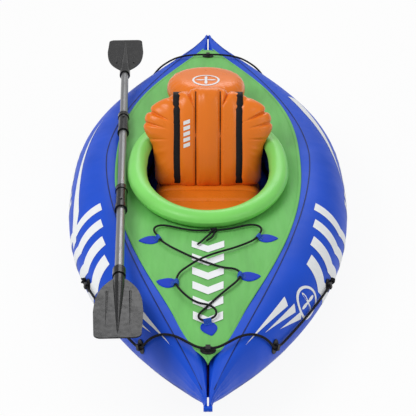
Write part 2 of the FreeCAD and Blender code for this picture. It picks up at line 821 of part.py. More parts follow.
def valve_cap(label, placement):
    """A screw cap with a grip bar across its top."""
    body = doc.addObject("Part::Cylinder", label + "_disc")
    bind(body, "Radius", "{valve_cap_radius}")
    bind(body, "Height", "{valve_cap_height}")
    grip = doc.addObject("Part::Box", label + "_grip")
    bind(grip, "Length", "{valve_cap_radius} * 1.5")
    bind(grip, "Width", "{valve_cap_height} / 2")
    bind(grip, "Height", "{valve_cap_height} * 1.5")
    grip.Placement.Base = Vector(-0.75 * size("valve_cap_radius"), -size("valve_cap_height") / 4, 0)
    cap = doc.addObject("Part::Fuse", label)
    cap.Base = body
    cap.Tool = grip
    cap.Placement = placement
    keep(cap, label)


def raised(placement, height):
    """A placement moved along its own Z."""
    return placement.multiply(Placement(Vector(0, 0, height), Rotation()))


VALVE_STATION = 1040.0
VALVE_DEGREES = 12.0
FLOOR_VALVE = (152.0, -500.0)


def make_screw_valves():
    lift = size("soft_gap")
    step = size("valve_base_height") + size("fit_gap")
    for word, side in (("starboard", STARBOARD), ("port", PORT)):
        place = hull_frame(side, VALVE_STATION, VALVE_DEGREES, lift, Y_AXIS)
        valve_base("hull_valve_%s" % word, place)
        valve_cap("hull_valve_cap_%s" % word, raised(place, step))
    place = Placement(Vector(*FLOOR_VALVE, floor_top() + lift), Rotation())
    valve_base("floor_valve", place)
    valve_cap("floor_valve_cap", raised(place, step))


def make_stopper(label, placement):
    """A stopper valve: a welded disc, a short stem and a plug pushed in."""
    wide, plug, high = (size("stopper_base_radius"), size("stopper_plug_radius"),
                        size("stopper_height"))
    profile = ((0, 0), (wide, 0), (wide, high / 4), (plug * 0.7, high / 4),
               (plug * 0.7, high * 0.7), (plug, high * 0.7), (plug, high), (0, high))
    turned(label, profile, raised(placement, size("soft_gap")))


COAMING_VALVE_TURN = 80


def coaming_surface(angle, rise):
    """A point on the coaming's outer side and the normal there, which climbs at a given angle."""
    ahead, behind = (Vector(*coaming_point(angle + step), 0) for step in (0.01, -0.01))
    level = (ahead - behind).cross(Z_AXIS).normalize()
    cos, sin = math.cos(rise), math.sin(rise)
    wide, high = size("coaming_tube_reach"), size("coaming_tube_rise")
    spot = (level * wide ** 2 * cos + Z_AXIS * high ** 2 * sin) / math.hypot(wide * cos, high * sin)
    x, y = coaming_point(angle)
    return Vector(x, y, coaming_height(y)) + spot, level * cos + Z_AXIS * sin


def make_stoppers():
    spot, normal = coaming_surface(math.radians(COAMING_VALVE_TURN), math.radians(45))
    make_stopper("coaming_valve", frame_at(spot, normal, X_AXIS))
    front = size("seat_front") + 50
    make_stopper("seat_valve", Placement(Vector(-120, front, seat_top()), Rotation()))
    back = back_placement()
    depth = size("back_front_swell") - size("back_thickness")
    low = back.multVec(Vector(60, 0.35 * size("back_height"), depth))
    make_stopper("backrest_valve", frame_at(low, back.Rotation.multVec(Z_AXIS) * -1, X_AXIS))
    pillow = pillow_placement()
    face = pillow.multVec(Vector(0, -size("pillow_half_length"), size("pillow_thickness") / 2))
    make_stopper("pillow_valve", frame_at(face, pillow.Rotation.multVec(Y_AXIS) * -1, X_AXIS))


# ---------------------------------------------------------------- ropes
CORNER_SHARE = 0.45


def cord_wire(label, points):
    """Straight runs joined by tangent arcs, each as large as its two runs allow."""
    corners = [Vector(*p) for p in points]
    edges, radii, last = [], [], corners[0]
    for before, corner, after in zip(corners, corners[1:], corners[2:]):
        back, ahead = before - corner, after - corner
        reach = CORNER_SHARE * min(back.Length, ahead.Length)
        half_turn = (math.pi - back.getAngle(ahead)) / 2
        radius = reach / math.tan(half_turn)
        radii.append(radius)
        start = corner + back * (reach / back.Length)
        end = corner + ahead * (reach / ahead.Length)
        bisector = (back.normalize() + ahead.normalize()).normalize()
        middle = corner + bisector * (radius / math.cos(half_turn) - radius)
        edges.append(Part.LineSegment(last, start).toShape())
        edges.append(Part.Arc(start, middle, end).toShape())
        last = end
    edges.append(Part.LineSegment(last, corners[-1]).toShape())
    wire = Part.Wire(edges)
    print("%s: length %.0f, smallest radius %.0f, radii %s"
          % (label, wire.Length, min(radii), " ".join("%.0f" % r for r in radii)))
    return wire


def make_cord(label, points, diameter):
    """A rope as a round tube along its route; its volume must be section times length."""
    wire = cord_wire(label, points)
    heading = Vector(*points[1]) - Vector(*points[0])
    ring = Part.Wire(Part.makeCircle(diameter / 2, Vector(*points[0]), heading))
    tube = wire.makePipeShell([ring], True, False)
    if tube.Volume < 0:
        tube.reverse()
    ideal = math.pi * diameter ** 2 / 4 * wire.Length
    if abs(tube.Volume / ideal - 1) > 0.01:
        raise RuntimeError("%s has volume %.0f, not %.0f" % (label, tube.Volume, ideal))
    shaped(label, tube)


# The bow line's port half, from the centre holder outwards.
BOW_LINE = [(26, -1215, 244), (64, -1182, 246), (101, -1148, 246), (136, -1125, 237),
            (167, -1109, 217), (189, -1095, 190), (204.3, -1081.3, 157.2), (223.3, -1051.3, 143.9),
            (251, -1004, 144), (292, -930, 145), (336, -845, 146), (379, -756, 147.5),
            (412, -674.4, 149.9)]
# The stern line's port half, from the centre holder outwards.
STERN_LINE = [(26, 1094.7, 255.7), (64, 1097, 253), (105, 1089, 251), (142, 1069, 249),
              (175, 1046, 240), (212, 1022, 222), (243, 1001, 188), (263.7, 981.9, 149.9),
              (282.3, 950.3, 140.1), (306, 908, 142), (340, 842, 145), (379, 756, 147.5),
              (412, 674.4, 149.9)]
# The deck lace, from one side of its knot through the five tabs to the other side.
DECK_LACE = [(5.7, -563.3, 288), (-28, -567, 288), (-66, -560, 288), (-102, -548, 289),
             (-133, -534, 289), (-160, -528, 289), (-181, -543, 289), (-182, -570, 288),
             (-170, -592, 286), (-157, -626, 284), (-128, -664, 284), (-86, -702, 282),
             (-46, -735, 280), (6, -769, 278), (50, -793, 276), (86, -799, 277),
             (104.5, -817, 274), (102.4, -848, 271.5), (88, -876, 271), (62, -910, 268),
             (34, -946, 263), (10, -982, 260), (-12, -1018, 258), (-28, -1042, 257),
             (-30, -1066, 257), (-16, -1081, 257), (10, -1073, 258), (26, -1054, 260),
             (25, -1027, 264), (5, -1007, 268), (-28, -998, 268), (-56, -968, 266),
             (-82, -928, 267), (-101.5, -888, 268.2), (-102, -857, 271), (-92, -820, 276),
             (-62, -786, 280), (-36, -763, 286), (2, -731, 287), (38, -704, 285),
             (80, -680, 284), (122, -652, 285), (156, -624, 286), (174, -584, 287),
             (182, -556, 288), (172, -532, 289), (144, -524, 289), (108, -539, 289),
             (70, -556, 288), (30.3, -563, 288)]
LACE_KNOT = (18, -563, 288)
LONG_TAIL = [(13, -569.7, 288), (6, -590, 288), (-7, -610, 287), (-19, -633, 286), (-34, -654, 285)]
SHORT_TAIL = [(22, -569.9, 288), (21, -592, 288), (12, -614, 287), (-4, -630, 286)]


def mirrored_route(half):
    """A whole rope from its port half: the starboard end first."""
    return [(-x, y, z) for x, y, z in reversed(half)] + half


def make_knot(label, centre, heading):
    """A tied knot as an egg-shaped solid whose long axis follows the rope."""
    knot = doc.addObject("Part::Ellipsoid", label)
    bind(knot, "Radius1", "{knot_half_height}")
    bind(knot, "Radius2", "{knot_half_length}")
    bind(knot, "Radius3", "{knot_half_height}")
    knot.Placement = Placement(Vector(*centre), Rotation(X_AXIS, Vector(*heading)))
    return knot


def make_ropes():
    make_cord("bow_line", mirrored_route(BOW_LINE), size("line_diameter"))
    make_cord("stern_line", mirrored_route(STERN_LINE), size("line_diameter"))
    make_cord("deck_lace", DECK_LACE, size("lace_diameter"))
    make_cord("lace_tail_long", LONG_TAIL, size("lace_diameter"))
    make_cord("lace_tail_short", SHORT_TAIL, size("lace_diameter"))
    keep(make_knot("lace_knot", LACE_KNOT, (1, 0, 0)), "lace_knot")
    for label, half in (("bow_line", BOW_LINE), ("stern_line", STERN_LINE)):
        knots = []
        for index, side in enumerate((STARBOARD, PORT)):
            end = Vector(side * half[-1][0], half[-1][1], half[-1][2])
            before = Vector(side * half[-2][0], half[-2][1], half[-2][2])
            heading = (end - before).normalize()
            centre = end + heading * (size("knot_half_length") + size("fit_gap"))
            knots.append(make_knot("%s_knot_%d" % (label, index), centre, heading))
        pair = doc.addObject("Part::Compound", label + "_knots")
        pair.Links = knots
        keep(pair, label + "_knots")


# ---------------------------------------------------------------- paddle
def support_height(x, y):
    """The highest thing under a point beside the cockpit: the deck cloth or the tube."""
    across = abs(x)
    cloth = deck_top(across, y) if across < deck_half_width(y) else 0.0
    return max(cloth, tube_top(across, y))


def paddle_point(along):
    """Plan position of a point of the paddle, measured from its middle towards the bow."""
    yaw = math.radians(size("paddle_yaw"))
    return (size("paddle_offset") + along * math.sin(yaw),
            size("paddle_middle") - along * math.cos(yaw))


def paddle_height():
    """The axis height at which the paddle's thickest round pieces lie on the boat."""
    gap = size("soft_gap")
    reach = size("coupling_distance") + size("coupling_length") / 2
    heights = []
    for step in range(-20, 21):
        along = reach * step / 20
        thick = abs(along) > reach - size("coupling_length")
        radius = size("coupling_collar_radius") if thick else size("shaft_radius")
        heights.append(support_height(*paddle_point(along)) + radius + gap)
    return max(heights)


def paddle_frame(along=0.0, flip=False):
    """Z runs along the paddle towards the bow, or the stern if flipped, and Y points up."""
    x, y = paddle_point(-along if flip else along)
    yaw = math.radians(size("paddle_yaw"))
    ahead = Vector(math.sin(yaw), -math.cos(yaw), 0) * (-1 if flip else 1)
    return Placement(Vector(x, y, paddle_height()), Rotation(Z_AXIS.cross(ahead) * -1, Z_AXIS, ahead, "ZYX"))


def tube_solid(label, outer, inner, length, placement):
    """A round tube from two bound cylinders."""
    solids = []
    for name, radius in (("outer", outer), ("bore", inner)):
        part = doc.addObject("Part::Cylinder", "%s_%s" % (label, name))
        bind(part, "Radius", radius)
        bind(part, "Height", length)
        solids.append(part)
    tube = doc.addObject("Part::Cut", label)
    tube.Base, tube.Tool = solids
    tube.Placement = placement
    return tube


def make_shafts():
    bore = "{shaft_radius} - {shaft_wall}"
    reach = size("coupling_distance") - size("shaft_end_gap") / 2
    middle = tube_solid("paddle_shaft_middle", "{shaft_radius}", bore,
                        "2 * {coupling_distance} - {shaft_end_gap}", paddle_frame(-reach))
    keep(middle, "paddle_shaft_middle")
    start = size("coupling_distance") + size("shaft_end_gap") / 2
    for word, flip in (("bow", False), ("stern", True)):
        label = "paddle_shaft_" + word
        length = "{paddle_length} / 2 - {blade_length} + {socket_depth} - {coupling_distance}"
        length += " - {shaft_end_gap} / 2 - {fit_gap}"
        keep(tube_solid(label, "{shaft_radius}", bore, length, paddle_frame(start, flip)), label)


def make_couplings():
    """Each coupling: a moulded sleeve with a button hole, and a collar round each end."""
    bore = "{shaft_radius} + {coupling_fit}"
    near = size("coupling_distance") - size("coupling_length") / 2
    for word, flip in (("bow", False), ("stern", True)):
        label = "paddle_coupling_" + word
        sleeve = tube_solid(label + "_sleeve", "{coupling_radius}", bore, "{coupling_length}",
                            Placement())
        hole = doc.addObject("Part::Cylinder", label + "_hole")
        bind(hole, "Radius", "{button_radius} + {fit_gap}")
        bind(hole, "Height", "{coupling_radius} * 2")
        at = size("coupling_length") / 2 + size("button_offset")
        hole.Placement = Placement(Vector(0, 0, at), Rotation(X_AXIS, -90))
        coupling = doc.addObject("Part::Cut", label)
        coupling.Base = sleeve
        coupling.Tool = hole
        coupling.Placement = paddle_frame(near, flip)
        keep(coupling, label)
        rings = []
        for index, start in enumerate((0.0, size("coupling_length") - size("coupling_collar_length"))):
            ring = tube_solid("%s_collar_%d" % (label, index), "{coupling_collar_radius}",
                              "{coupling_radius} + {fit_gap}", "{coupling_collar_length}",
                              paddle_frame(near + start, flip))
            rings.append(ring)
        pair = doc.addObject("Part::Compound", label + "_collars")
        pair.Links = rings
        keep(pair, label + "_collars")
        button = doc.addObject("Part::Cylinder", label + "_button")
        bind(button, "Radius", "{button_radius}")
        bind(button, "Height", "{coupling_radius} + {button_stand} - {shaft_radius} - {coupling_fit}"
                               " - {button_travel} - {fit_gap}")
        place = paddle_frame(near + at, flip)
        foot = size("shaft_radius") + size("coupling_fit") + size("button_travel") + size("fit_gap")
        lift = Placement(Vector(0, foot, 0), Rotation(X_AXIS, -90))
        button.Placement = place.multiply(lift)
        keep(button, label + "_button")


# The blade's round shoulder: share of its half width, share of the way to its straight flank.
BLADE_SHOULDER = ((0.56, 0.18), (0.84, 0.44), (0.96, 0.72), (1.0, 1.0))


def blade_edges():
    """The blade's outline from its neck to its nearly straight tip, in X across and Y along."""
    half, long = size("blade_half_width"), size("blade_length")
    neck, shoulder, corner = size("blade_neck"), size("blade_shoulder"), size("blade_corner")
    tip = size("blade_tip_half_width")
    root = size("socket_radius") - 2.0
    side = [(root, neck)] + [(half * u, neck + (shoulder - neck) * v) for u, v in BLADE_SHOULDER]
    edges = []
    for sign in (1, -1):
        flank = [Vector(sign * x, y, 0) for x, y in side]
        edges.append(spline([tuple(p) for p in flank]))
        knee = Vector(sign * tip, long - corner, 0)
        edges.append(Part.makeLine(flank[-1], knee))
        toe = Vector(sign * (tip - corner), long, 0)
        bend = Vector(sign * (tip - 0.293 * corner), long - 0.293 * corner, 0)
        edges.append(Part.Arc(knee, bend, toe).toShape())
    edges.append(Part.makeLine(Vector(corner - tip, long, 0), Vector(tip - corner, long, 0)))
    edges.append(Part.makeLine(Vector(-root, neck, 0), Vector(root, neck, 0)))
    return edges


def make_blades():
    """Each blade: a plate with two side ribs and a tapering spine that ends in a socket."""
    start = size("paddle_length") / 2 - size("blade_length")
    for word, flip in (("bow", False), ("stern", True)):
        label = "paddle_blade_" + word
        plate = doc.addObject("PartDesign::Body", label + "_plate")
        outline = new_sketch(plate, label + "_outline")
        for edge in blade_edges():
            outline.addGeometry(sketch_geometry(edge), False)
        add_pad(plate, outline, "{blade_thickness}", both_ways=True)
        plate.Placement = Placement(ORIGIN, Rotation(X_AXIS, 90))
        pieces = [plate]
        spine = doc.addObject("Part::Cone", label + "_spine")
        bind(spine, "Radius1", "{socket_radius}")
        bind(spine, "Radius2", "{blade_thickness} / 2 + 0.5")
        bind(spine, "Height", "{blade_length} - {socket_depth} - {blade_corner}")
        spine.Placement.Base = Vector(0, 0, size("socket_depth"))
        socket = doc.addObject("Part::Cylinder", label + "_socket")
        bind(socket, "Radius", "{socket_radius}")
        bind(socket, "Height", "{socket_depth}")
        pieces += [spine, socket]
        for index, side in enumerate((-1, 1)):
            rib = doc.addObject("Part::Cone", "%s_rib_%d" % (label, index))
            bind(rib, "Radius1", "{rib_radius}")
            bind(rib, "Radius2", "{blade_thickness} / 2")
            bind(rib, "Height", "{blade_length} - {rib_start} - {blade_corner} * 2")
            rib.Placement.Base = Vector(side * size("rib_offset"), 0, size("rib_start"))
            pieces.append(rib)
        moulding = doc.addObject("Part::MultiFuse", label + "_moulding")
        moulding.Shapes = pieces
        bore = doc.addObject("Part::Cylinder", label + "_bore")
        bind(bore, "Radius", "{shaft_radius} + {socket_fit}")
        bind(bore, "Height", "{socket_depth}")
        blade = doc.addObject("Part::Cut", label)
        blade.Base = moulding
        blade.Tool = bore
        blade.Placement = paddle_frame(start, flip)
        keep(blade, label)
        collar = "paddle_blade_collar_" + word
        ring = tube_solid(collar, "{blade_collar_radius}", "{socket_radius} + {fit_gap}",
                          "{blade_collar_length}", paddle_frame(start - 1.0, flip))
        keep(ring, collar)


# ---------------------------------------------------------------- the whole boat
def check(feature):
    if "Invalid" in feature.State or "Error" in feature.State:
        raise RuntimeError("%s failed: %s" % (feature.Label, feature.State))


def main():
    make_tubes()
    make_bottom_skin()
    make_floor()
    make_deck()
    make_coaming()
    make_seat()
    make_backrest()
    make_straps()
    make_pillow()
    make_holders()
    make_tabs()
    make_tip_tabs()
    make_screw_valves()
    make_stoppers()
    make_ropes()
    make_shafts()
    make_couplings()
    make_blades()
    doc.recompute()
    for feature in doc.Objects:
        check(feature)
    os.makedirs("parts", exist_ok=True)
    for feature in SUB_PARTS:
        shape = feature.Shape
        if shape.isNull() or not shape.isValid() or shape.Volume <= 0:
            raise RuntimeError("%s is not a valid solid" % feature.Label)
        shape.exportStep("parts/%s.step" % feature.Label)
        box = shape.BoundBox
        print("%-34s %9.0f mm3  x %.0f..%.0f  y %.0f..%.0f  z %.1f..%.1f" % (
            feature.Label, shape.Volume, box.XMin, box.XMax, box.YMin, box.YMax, box.ZMin, box.ZMax))


main()
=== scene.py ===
"""One-person inflatable kayak with its paddle: the look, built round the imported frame.

Metres, +Z up, origin on the ground under the middle of the hull, bow along -Y, port +X.
"""
import math

import bmesh
import bpy
import numpy as np
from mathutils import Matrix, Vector


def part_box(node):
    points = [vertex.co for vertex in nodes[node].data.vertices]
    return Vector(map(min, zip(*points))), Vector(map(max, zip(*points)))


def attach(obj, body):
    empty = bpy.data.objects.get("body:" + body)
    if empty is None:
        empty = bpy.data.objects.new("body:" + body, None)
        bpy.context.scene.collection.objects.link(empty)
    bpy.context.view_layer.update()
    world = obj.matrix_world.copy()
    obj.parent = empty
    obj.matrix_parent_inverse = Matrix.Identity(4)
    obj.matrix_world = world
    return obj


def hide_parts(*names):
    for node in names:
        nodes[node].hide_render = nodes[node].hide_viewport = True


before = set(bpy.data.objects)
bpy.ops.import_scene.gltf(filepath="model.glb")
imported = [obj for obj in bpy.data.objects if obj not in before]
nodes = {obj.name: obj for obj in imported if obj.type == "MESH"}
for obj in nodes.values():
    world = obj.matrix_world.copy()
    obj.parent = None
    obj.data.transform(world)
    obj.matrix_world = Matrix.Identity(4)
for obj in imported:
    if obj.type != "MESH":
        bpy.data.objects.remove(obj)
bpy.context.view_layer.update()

STARBOARD, PORT = -1, 1


# ---------------------------------------------------------------- camera
def make_camera():
    lens = bpy.data.cameras.new("view")
    lens.lens = 126.3
    lens.sensor_width = 36.0
    lens.clip_end = 100.0
    camera = bpy.data.objects.new("view", lens)
    camera.location = (0.0, -4.8656, 2.6476)
    camera.rotation_euler = (math.radians(90 - 27.87), 0.0, 0.0)
    bpy.context.scene.collection.objects.link(camera)
    bpy.context.scene.camera = camera


make_camera()


# ---------------------------------------------------------------- meshes from grids
def mesh_object(name, vertices, faces, loop_uv=None):
    """A mesh piece with smooth faces and, if given, one UV per face corner."""
    mesh = bpy.data.meshes.new(name)
    mesh.from_pydata(vertices.tolist(), [], faces.tolist())
    if loop_uv is not None:
        layer = mesh.uv_layers.new(name="UVMap")
        layer.data.foreach_set("uv", loop_uv.astype(np.float32).ravel())
    mesh.polygons.foreach_set("use_smooth", np.ones(len(faces), bool))
    piece = bpy.data.objects.new(name, mesh)
    bpy.context.scene.collection.objects.link(piece)
    return piece


def grid_piece(name, points, uv, wrap_rows=False, wrap_columns=False, flip=False):
    """A surface from a grid of points (rows, columns, 3) and its UV (rows + 1 if wrapped, ...).

    Each cell of four neighbouring points is one face; a wrapped direction joins its last
    row or column to its first.
    """
    rows, columns = points.shape[:2]
    row, column = np.meshgrid(np.arange(rows if wrap_rows else rows - 1),
                              np.arange(columns if wrap_columns else columns - 1), indexing="ij")
    row, column = row.ravel(), column.ravel()
    corners = [(row, column), (row + 1, column), (row + 1, column + 1), (row, column + 1)]
    if flip:
        corners = corners[::-1]
    faces = np.stack([(a % rows) * columns + b % columns for a, b in corners], axis=1)
    loop_uv = np.stack([uv[a, b] for a, b in corners], axis=1)
    return mesh_object(name, points.reshape(-1, 3), faces, loop_uv.reshape(-1, 2))


def plain_uv(rows, columns, length=1.0, width=1.0):
    """UV that grows evenly along the rows and the columns."""
    u, v = np.meshgrid(np.linspace(0, length, rows), np.linspace(0, width, columns), indexing="ij")
    return np.stack([u, v], axis=-1)


def weld(piece, distance=1e-5, outward=True):
    """Merge the doubled points at poles and seams, and turn the faces outwards."""
    work = bmesh.new()
    work.from_mesh(piece.data)
    bmesh.ops.remove_doubles(work, verts=work.verts, dist=distance)
    if outward:
        bmesh.ops.recalc_face_normals(work, faces=work.faces)
    work.to_mesh(piece.data)
    work.free()
    piece.data.polygons.foreach_set("use_smooth", np.ones(len(piece.data.polygons), bool))
    return piece


def join(name, pieces):
    """Several new pieces as one object."""
    for other in pieces[1:]:
        other.data.materials.clear()
    with bpy.context.temp_override(active_object=pieces[0], object=pieces[0],
                                   selected_objects=pieces, selected_editable_objects=pieces):
        bpy.ops.object.join()
    pieces[0].name = name
    pieces[0].data.name = name
    return pieces[0]


def bell(x, middle, width):
    """A smooth bump, exp(-((x - middle) / width)^2)."""
    return np.exp(-((x - middle) / width) ** 2)


def ease(x, low, high):
    """0 below low, 1 above high, and the smooth cubic between."""
    t = np.clip((x - low) / (high - low), 0, 1)
    return t * t * (3 - 2 * t)


def ripple(x, waves):
    """A sum of sines, each (cycles per unit, phase, share), with no repeat within a piece."""
    return sum(share * np.sin(2 * np.pi * cycles * x + phase) for cycles, phase, share in waves)


# ---------------------------------------------------------------- materials
def shader(name, base, roughness, metallic=0.0, coat=0.0, specular=0.5):
    """A material with its shader's plain values set on the shader's own sockets."""
    material = bpy.data.materials.new(name)
    material.use_nodes = True
    tree = material.node_tree
    surface = tree.nodes["Principled BSDF"]
    surface.inputs["Base Color"].default_value = (*base, 1)
    surface.inputs["Roughness"].default_value = roughness
    surface.inputs["Metallic"].default_value = metallic
    surface.inputs["Coat Weight"].default_value = coat
    surface.inputs["Coat Roughness"].default_value = 0.25
    surface.inputs["Specular IOR Level"].default_value = specular
    return material, tree, surface


def coordinates(tree, kind="Object", scale=(1, 1, 1), turn=0.0):
    """Coordinates of the piece, stretched and turned about Z."""
    source = tree.nodes.new("ShaderNodeTexCoord")
    mapping = tree.nodes.new("ShaderNodeMapping")
    mapping.inputs["Scale"].default_value = scale
    mapping.inputs["Rotation"].default_value = (0, 0, turn)
    tree.links.new(source.outputs[kind], mapping.inputs["Vector"])
    return mapping.outputs["Vector"]


def noise(tree, vector, scale, detail=3.0, rough=0.5):
    texture = tree.nodes.new("ShaderNodeTexNoise")
    texture.inputs["Scale"].default_value = scale
    texture.inputs["Detail"].default_value = detail
    texture.inputs["Roughness"].default_value = rough
    tree.links.new(vector, texture.inputs["Vector"])
    return texture.outputs["Fac"]


def wave(tree, vector, scale, distortion=0.0, direction="X"):
    texture = tree.nodes.new("ShaderNodeTexWave")
    texture.bands_direction = direction
    texture.inputs["Scale"].default_value = scale
    texture.inputs["Distortion"].default_value = distortion
    tree.links.new(vector, texture.inputs["Vector"])
    return texture.outputs["Fac"]


def spread(tree, value, low, high):
    """A 0 to 1 value carried to the range from low to high."""
    node = tree.nodes.new("ShaderNodeMapRange")
    node.inputs["From Min"].default_value = 0.25
    node.inputs["From Max"].default_value = 0.75
    node.inputs["To Min"].default_value = low
    node.inputs["To Max"].default_value = high
    tree.links.new(value, node.inputs["Value"])
    return node.outputs["Result"]


def arithmetic(tree, operation, first, second):
    node = tree.nodes.new("ShaderNodeMath")
    node.operation = operation
    for socket, value in zip(node.inputs, (first, second)):
        if isinstance(value, (int, float)):
            socket.default_value = value
        else:
            tree.links.new(value, socket)
    return node.outputs["Value"]


def tint(tree, surface, value, dark, light):
    """Base colour between two shades of the finish."""
    ramp = tree.nodes.new("ShaderNodeValToRGB")
    ramp.color_ramp.elements[0].position = 0.3
    ramp.color_ramp.elements[1].position = 0.7
    ramp.color_ramp.elements[0].color = (*dark, 1)
    ramp.color_ramp.elements[1].color = (*light, 1)
    tree.links.new(value, ramp.inputs["Fac"])
    tree.links.new(ramp.outputs["Color"], surface.inputs["Base Color"])


def relief(tree, surface, layers):
    """Bumps in a chain, each (height, strength, depth in metres)."""
    before = None
    for height, strength, depth in layers:
        bump = tree.nodes.new("ShaderNodeBump")
        bump.inputs["Strength"].default_value = strength
        bump.inputs["Distance"].default_value = depth
        tree.links.new(height, bump.inputs["Height"])
        if before is not None:
            tree.links.new(before, bump.inputs["Normal"])
        before = bump.outputs["Normal"]
    tree.links.new(before, surface.inputs["Normal"])


def shade(base, factor):
    return tuple(min(1.0, c * factor) for c in base)


def inflated_vinyl(name, base, roughness=0.34, coat=0.25, soft_folds=0.0015, specular=0.35):
    """Welded vinyl sheet under air: calendered grain, soft unevenness, uneven gloss."""
    material, tree, surface = shader(name, base, roughness, coat=coat, specular=specular)
    place = coordinates(tree)
    broad = noise(tree, place, 5.0, 2.0)
    grain = noise(tree, place, 1400.0, 1.0)
    folds = noise(tree, coordinates(tree, scale=(1.0, 0.45, 1.0)), 14.0, 2.0, 0.4)
    tint(tree, surface, broad, shade(base, 0.93), shade(base, 1.06))
    tree.links.new(spread(tree, noise(tree, place, 22.0, 4.0), roughness - 0.05, roughness + 0.06),
                   surface.inputs["Roughness"])
    relief(tree, surface, [(folds, 0.35, soft_folds), (grain, 0.12, 0.0002)])
    return material


def deck_cloth(name, base):
    """Coated cloth pulled along the boat: long fine wrinkles over a plain weave."""
    material, tree, surface = shader(name, base, 0.55, specular=0.2)
    long_way = coordinates(tree, scale=(1.0, 0.16, 1.0))
    pulls = noise(tree, long_way, 20.0, 5.0, 0.55)
    ridges = noise(tree, coordinates(tree, scale=(1.0, 0.08, 1.0), turn=0.12), 42.0, 2.0)
    weave = arithmetic(tree, "MULTIPLY", wave(tree, coordinates(tree), 260.0),
                       wave(tree, coordinates(tree), 260.0, direction="Y"))
    tint(tree, surface, pulls, shade(base, 0.84), shade(base, 1.06))
    tree.links.new(spread(tree, ridges, 0.48, 0.64), surface.inputs["Roughness"])
    relief(tree, surface, [(pulls, 0.5, 0.004), (ridges, 0.25, 0.0016), (weave, 0.15, 0.0002)])
    return material


def ink(name, base):
    """Screen-printed ink: flat, with a trace of wear."""
    material, tree, surface = shader(name, base, 0.55, specular=0.15)
    place = coordinates(tree)
    tint(tree, surface, noise(tree, place, 60.0, 5.0), shade(base, 0.95), base)
    tree.links.new(spread(tree, noise(tree, place, 300.0, 2.0), 0.38, 0.52),
                   surface.inputs["Roughness"])
    return material


def braid(name, base):
    """Braided cord: two sets of strands that cross over each other along the cord."""
    material, tree, surface = shader(name, base, 0.7, specular=0.12)
    one = wave(tree, coordinates(tree, "UV", (1, 1, 1), 0.6), 92.0)
    two = wave(tree, coordinates(tree, "UV", (1, 1, 1), -0.6), 92.0)
    strands = arithmetic(tree, "MAXIMUM", one, two)
    fleck = noise(tree, coordinates(tree, "UV"), 260.0, 1.0)
    tint(tree, surface, arithmetic(tree, "MULTIPLY", strands, fleck), shade(base, 0.5),
         shade(base, 3.4))
    relief(tree, surface, [(strands, 0.8, 0.0009)])
    return material


def webbing(name, base):
    """Woven strap: fine ribs across it and a coarser weave along it."""
    material, tree, surface = shader(name, base, 0.55, specular=0.15)
    across = wave(tree, coordinates(tree, "UV"), 180.0)
    along = wave(tree, coordinates(tree, "UV"), 260.0, direction="Y")
    weave = arithmetic(tree, "MULTIPLY", across, along)
    tint(tree, surface, weave, shade(base, 0.6), shade(base, 2.2))
    relief(tree, surface, [(weave, 0.5, 0.0005)])
    return material


def rubber(name, base, roughness=0.5):
    """Moulded rubber: a fine matt texture with dusty patches."""
    material, tree, surface = shader(name, base, roughness, specular=0.25)
    place = coordinates(tree)
    tint(tree, surface, noise(tree, place, 45.0, 5.0), shade(base, 0.8), shade(base, 1.9))
    tree.links.new(spread(tree, noise(tree, place, 90.0, 3.0), roughness - 0.1, roughness + 0.12),
                   surface.inputs["Roughness"])
    relief(tree, surface, [(noise(tree, place, 900.0, 2.0), 0.25, 0.0003)])
    return material


def moulded_plastic(name, base, roughness=0.2):
    """Glossy moulded plastic with faint flow marks and handling haze."""
    material, tree, surface = shader(name, base, roughness, specular=0.22)
    place = coordinates(tree)
    flow = noise(tree, coordinates(tree, scale=(1.0, 0.3, 1.0)), 26.0, 3.0)
    tint(tree, surface, flow, shade(base, 0.85), shade(base, 1.3))
    tree.links.new(spread(tree, noise(tree, place, 55.0, 4.0), roughness - 0.05, roughness + 0.12),
                   surface.inputs["Roughness"])
    relief(tree, surface, [(flow, 0.12, 0.0012), (noise(tree, place, 700.0, 1.0), 0.1, 0.0001)])
    return material


def drawn_aluminium(name, base):
    """Drawn tube: fine lines along it and uneven brightness."""
    material, tree, surface = shader(name, base, 0.42, metallic=0.75)
    lines = noise(tree, coordinates(tree, scale=(60.0, 1.0, 60.0)), 30.0, 2.0)
    tint(tree, surface, lines, shade(base, 0.86), shade(base, 1.05))
    tree.links.new(spread(tree, noise(tree, coordinates(tree, scale=(1, 0.4, 1)), 40.0, 3.0),
                          0.27, 0.42), surface.inputs["Roughness"])
    relief(tree, surface, [(lines, 0.12, 0.0002)])
    return material


HULL_BLUE = (0.007, 0.075, 0.6)
DECK_GREEN = (0.165, 0.52, 0.13)
RING_GREEN = (0.23, 0.72, 0.145)
ORANGE = (0.86, 0.2, 0.012)

finish = {
    "hull": inflated_vinyl("hull_vinyl", HULL_BLUE, 0.46, 0.0, specular=0.16),
    "floor": inflated_vinyl("floor_vinyl", (0.014, 0.07, 0.5), 0.48, 0.0, specular=0.2),
    "deck": deck_cloth("deck_cloth", DECK_GREEN),
    "ring": inflated_vinyl("coaming_vinyl", RING_GREEN, 0.36, 0.06, 0.0007, specular=0.3),
    "seat": inflated_vinyl("seat_vinyl", ORANGE, 0.3, 0.12, 0.002, specular=0.3),
    "welt": ink("weld_line", (0.004, 0.012, 0.08)),
    "seam": ink("seam_line", (0.05, 0.008, 0.004)),
    "print": ink("white_print", (0.86, 0.88, 0.9)),
    "tab": inflated_vinyl("tab_vinyl", (0.008, 0.045, 0.5), 0.5, 0.0, specular=0.12),
    "band": webbing("tab_band", (0.022, 0.09, 0.5)),
    "rope": braid("black_cord", (0.012, 0.012, 0.014)),
    "strap": webbing("black_webbing", (0.012, 0.012, 0.014)),
    "rubber": rubber("black_rubber", (0.012, 0.012, 0.013)),
    "plastic": moulded_plastic("black_plastic", (0.008, 0.008, 0.009)),
    "valve": moulded_plastic("grey_plastic", (0.3, 0.31, 0.32), 0.35),
    "metal": drawn_aluminium("shaft_aluminium", (0.27, 0.275, 0.285)),
}


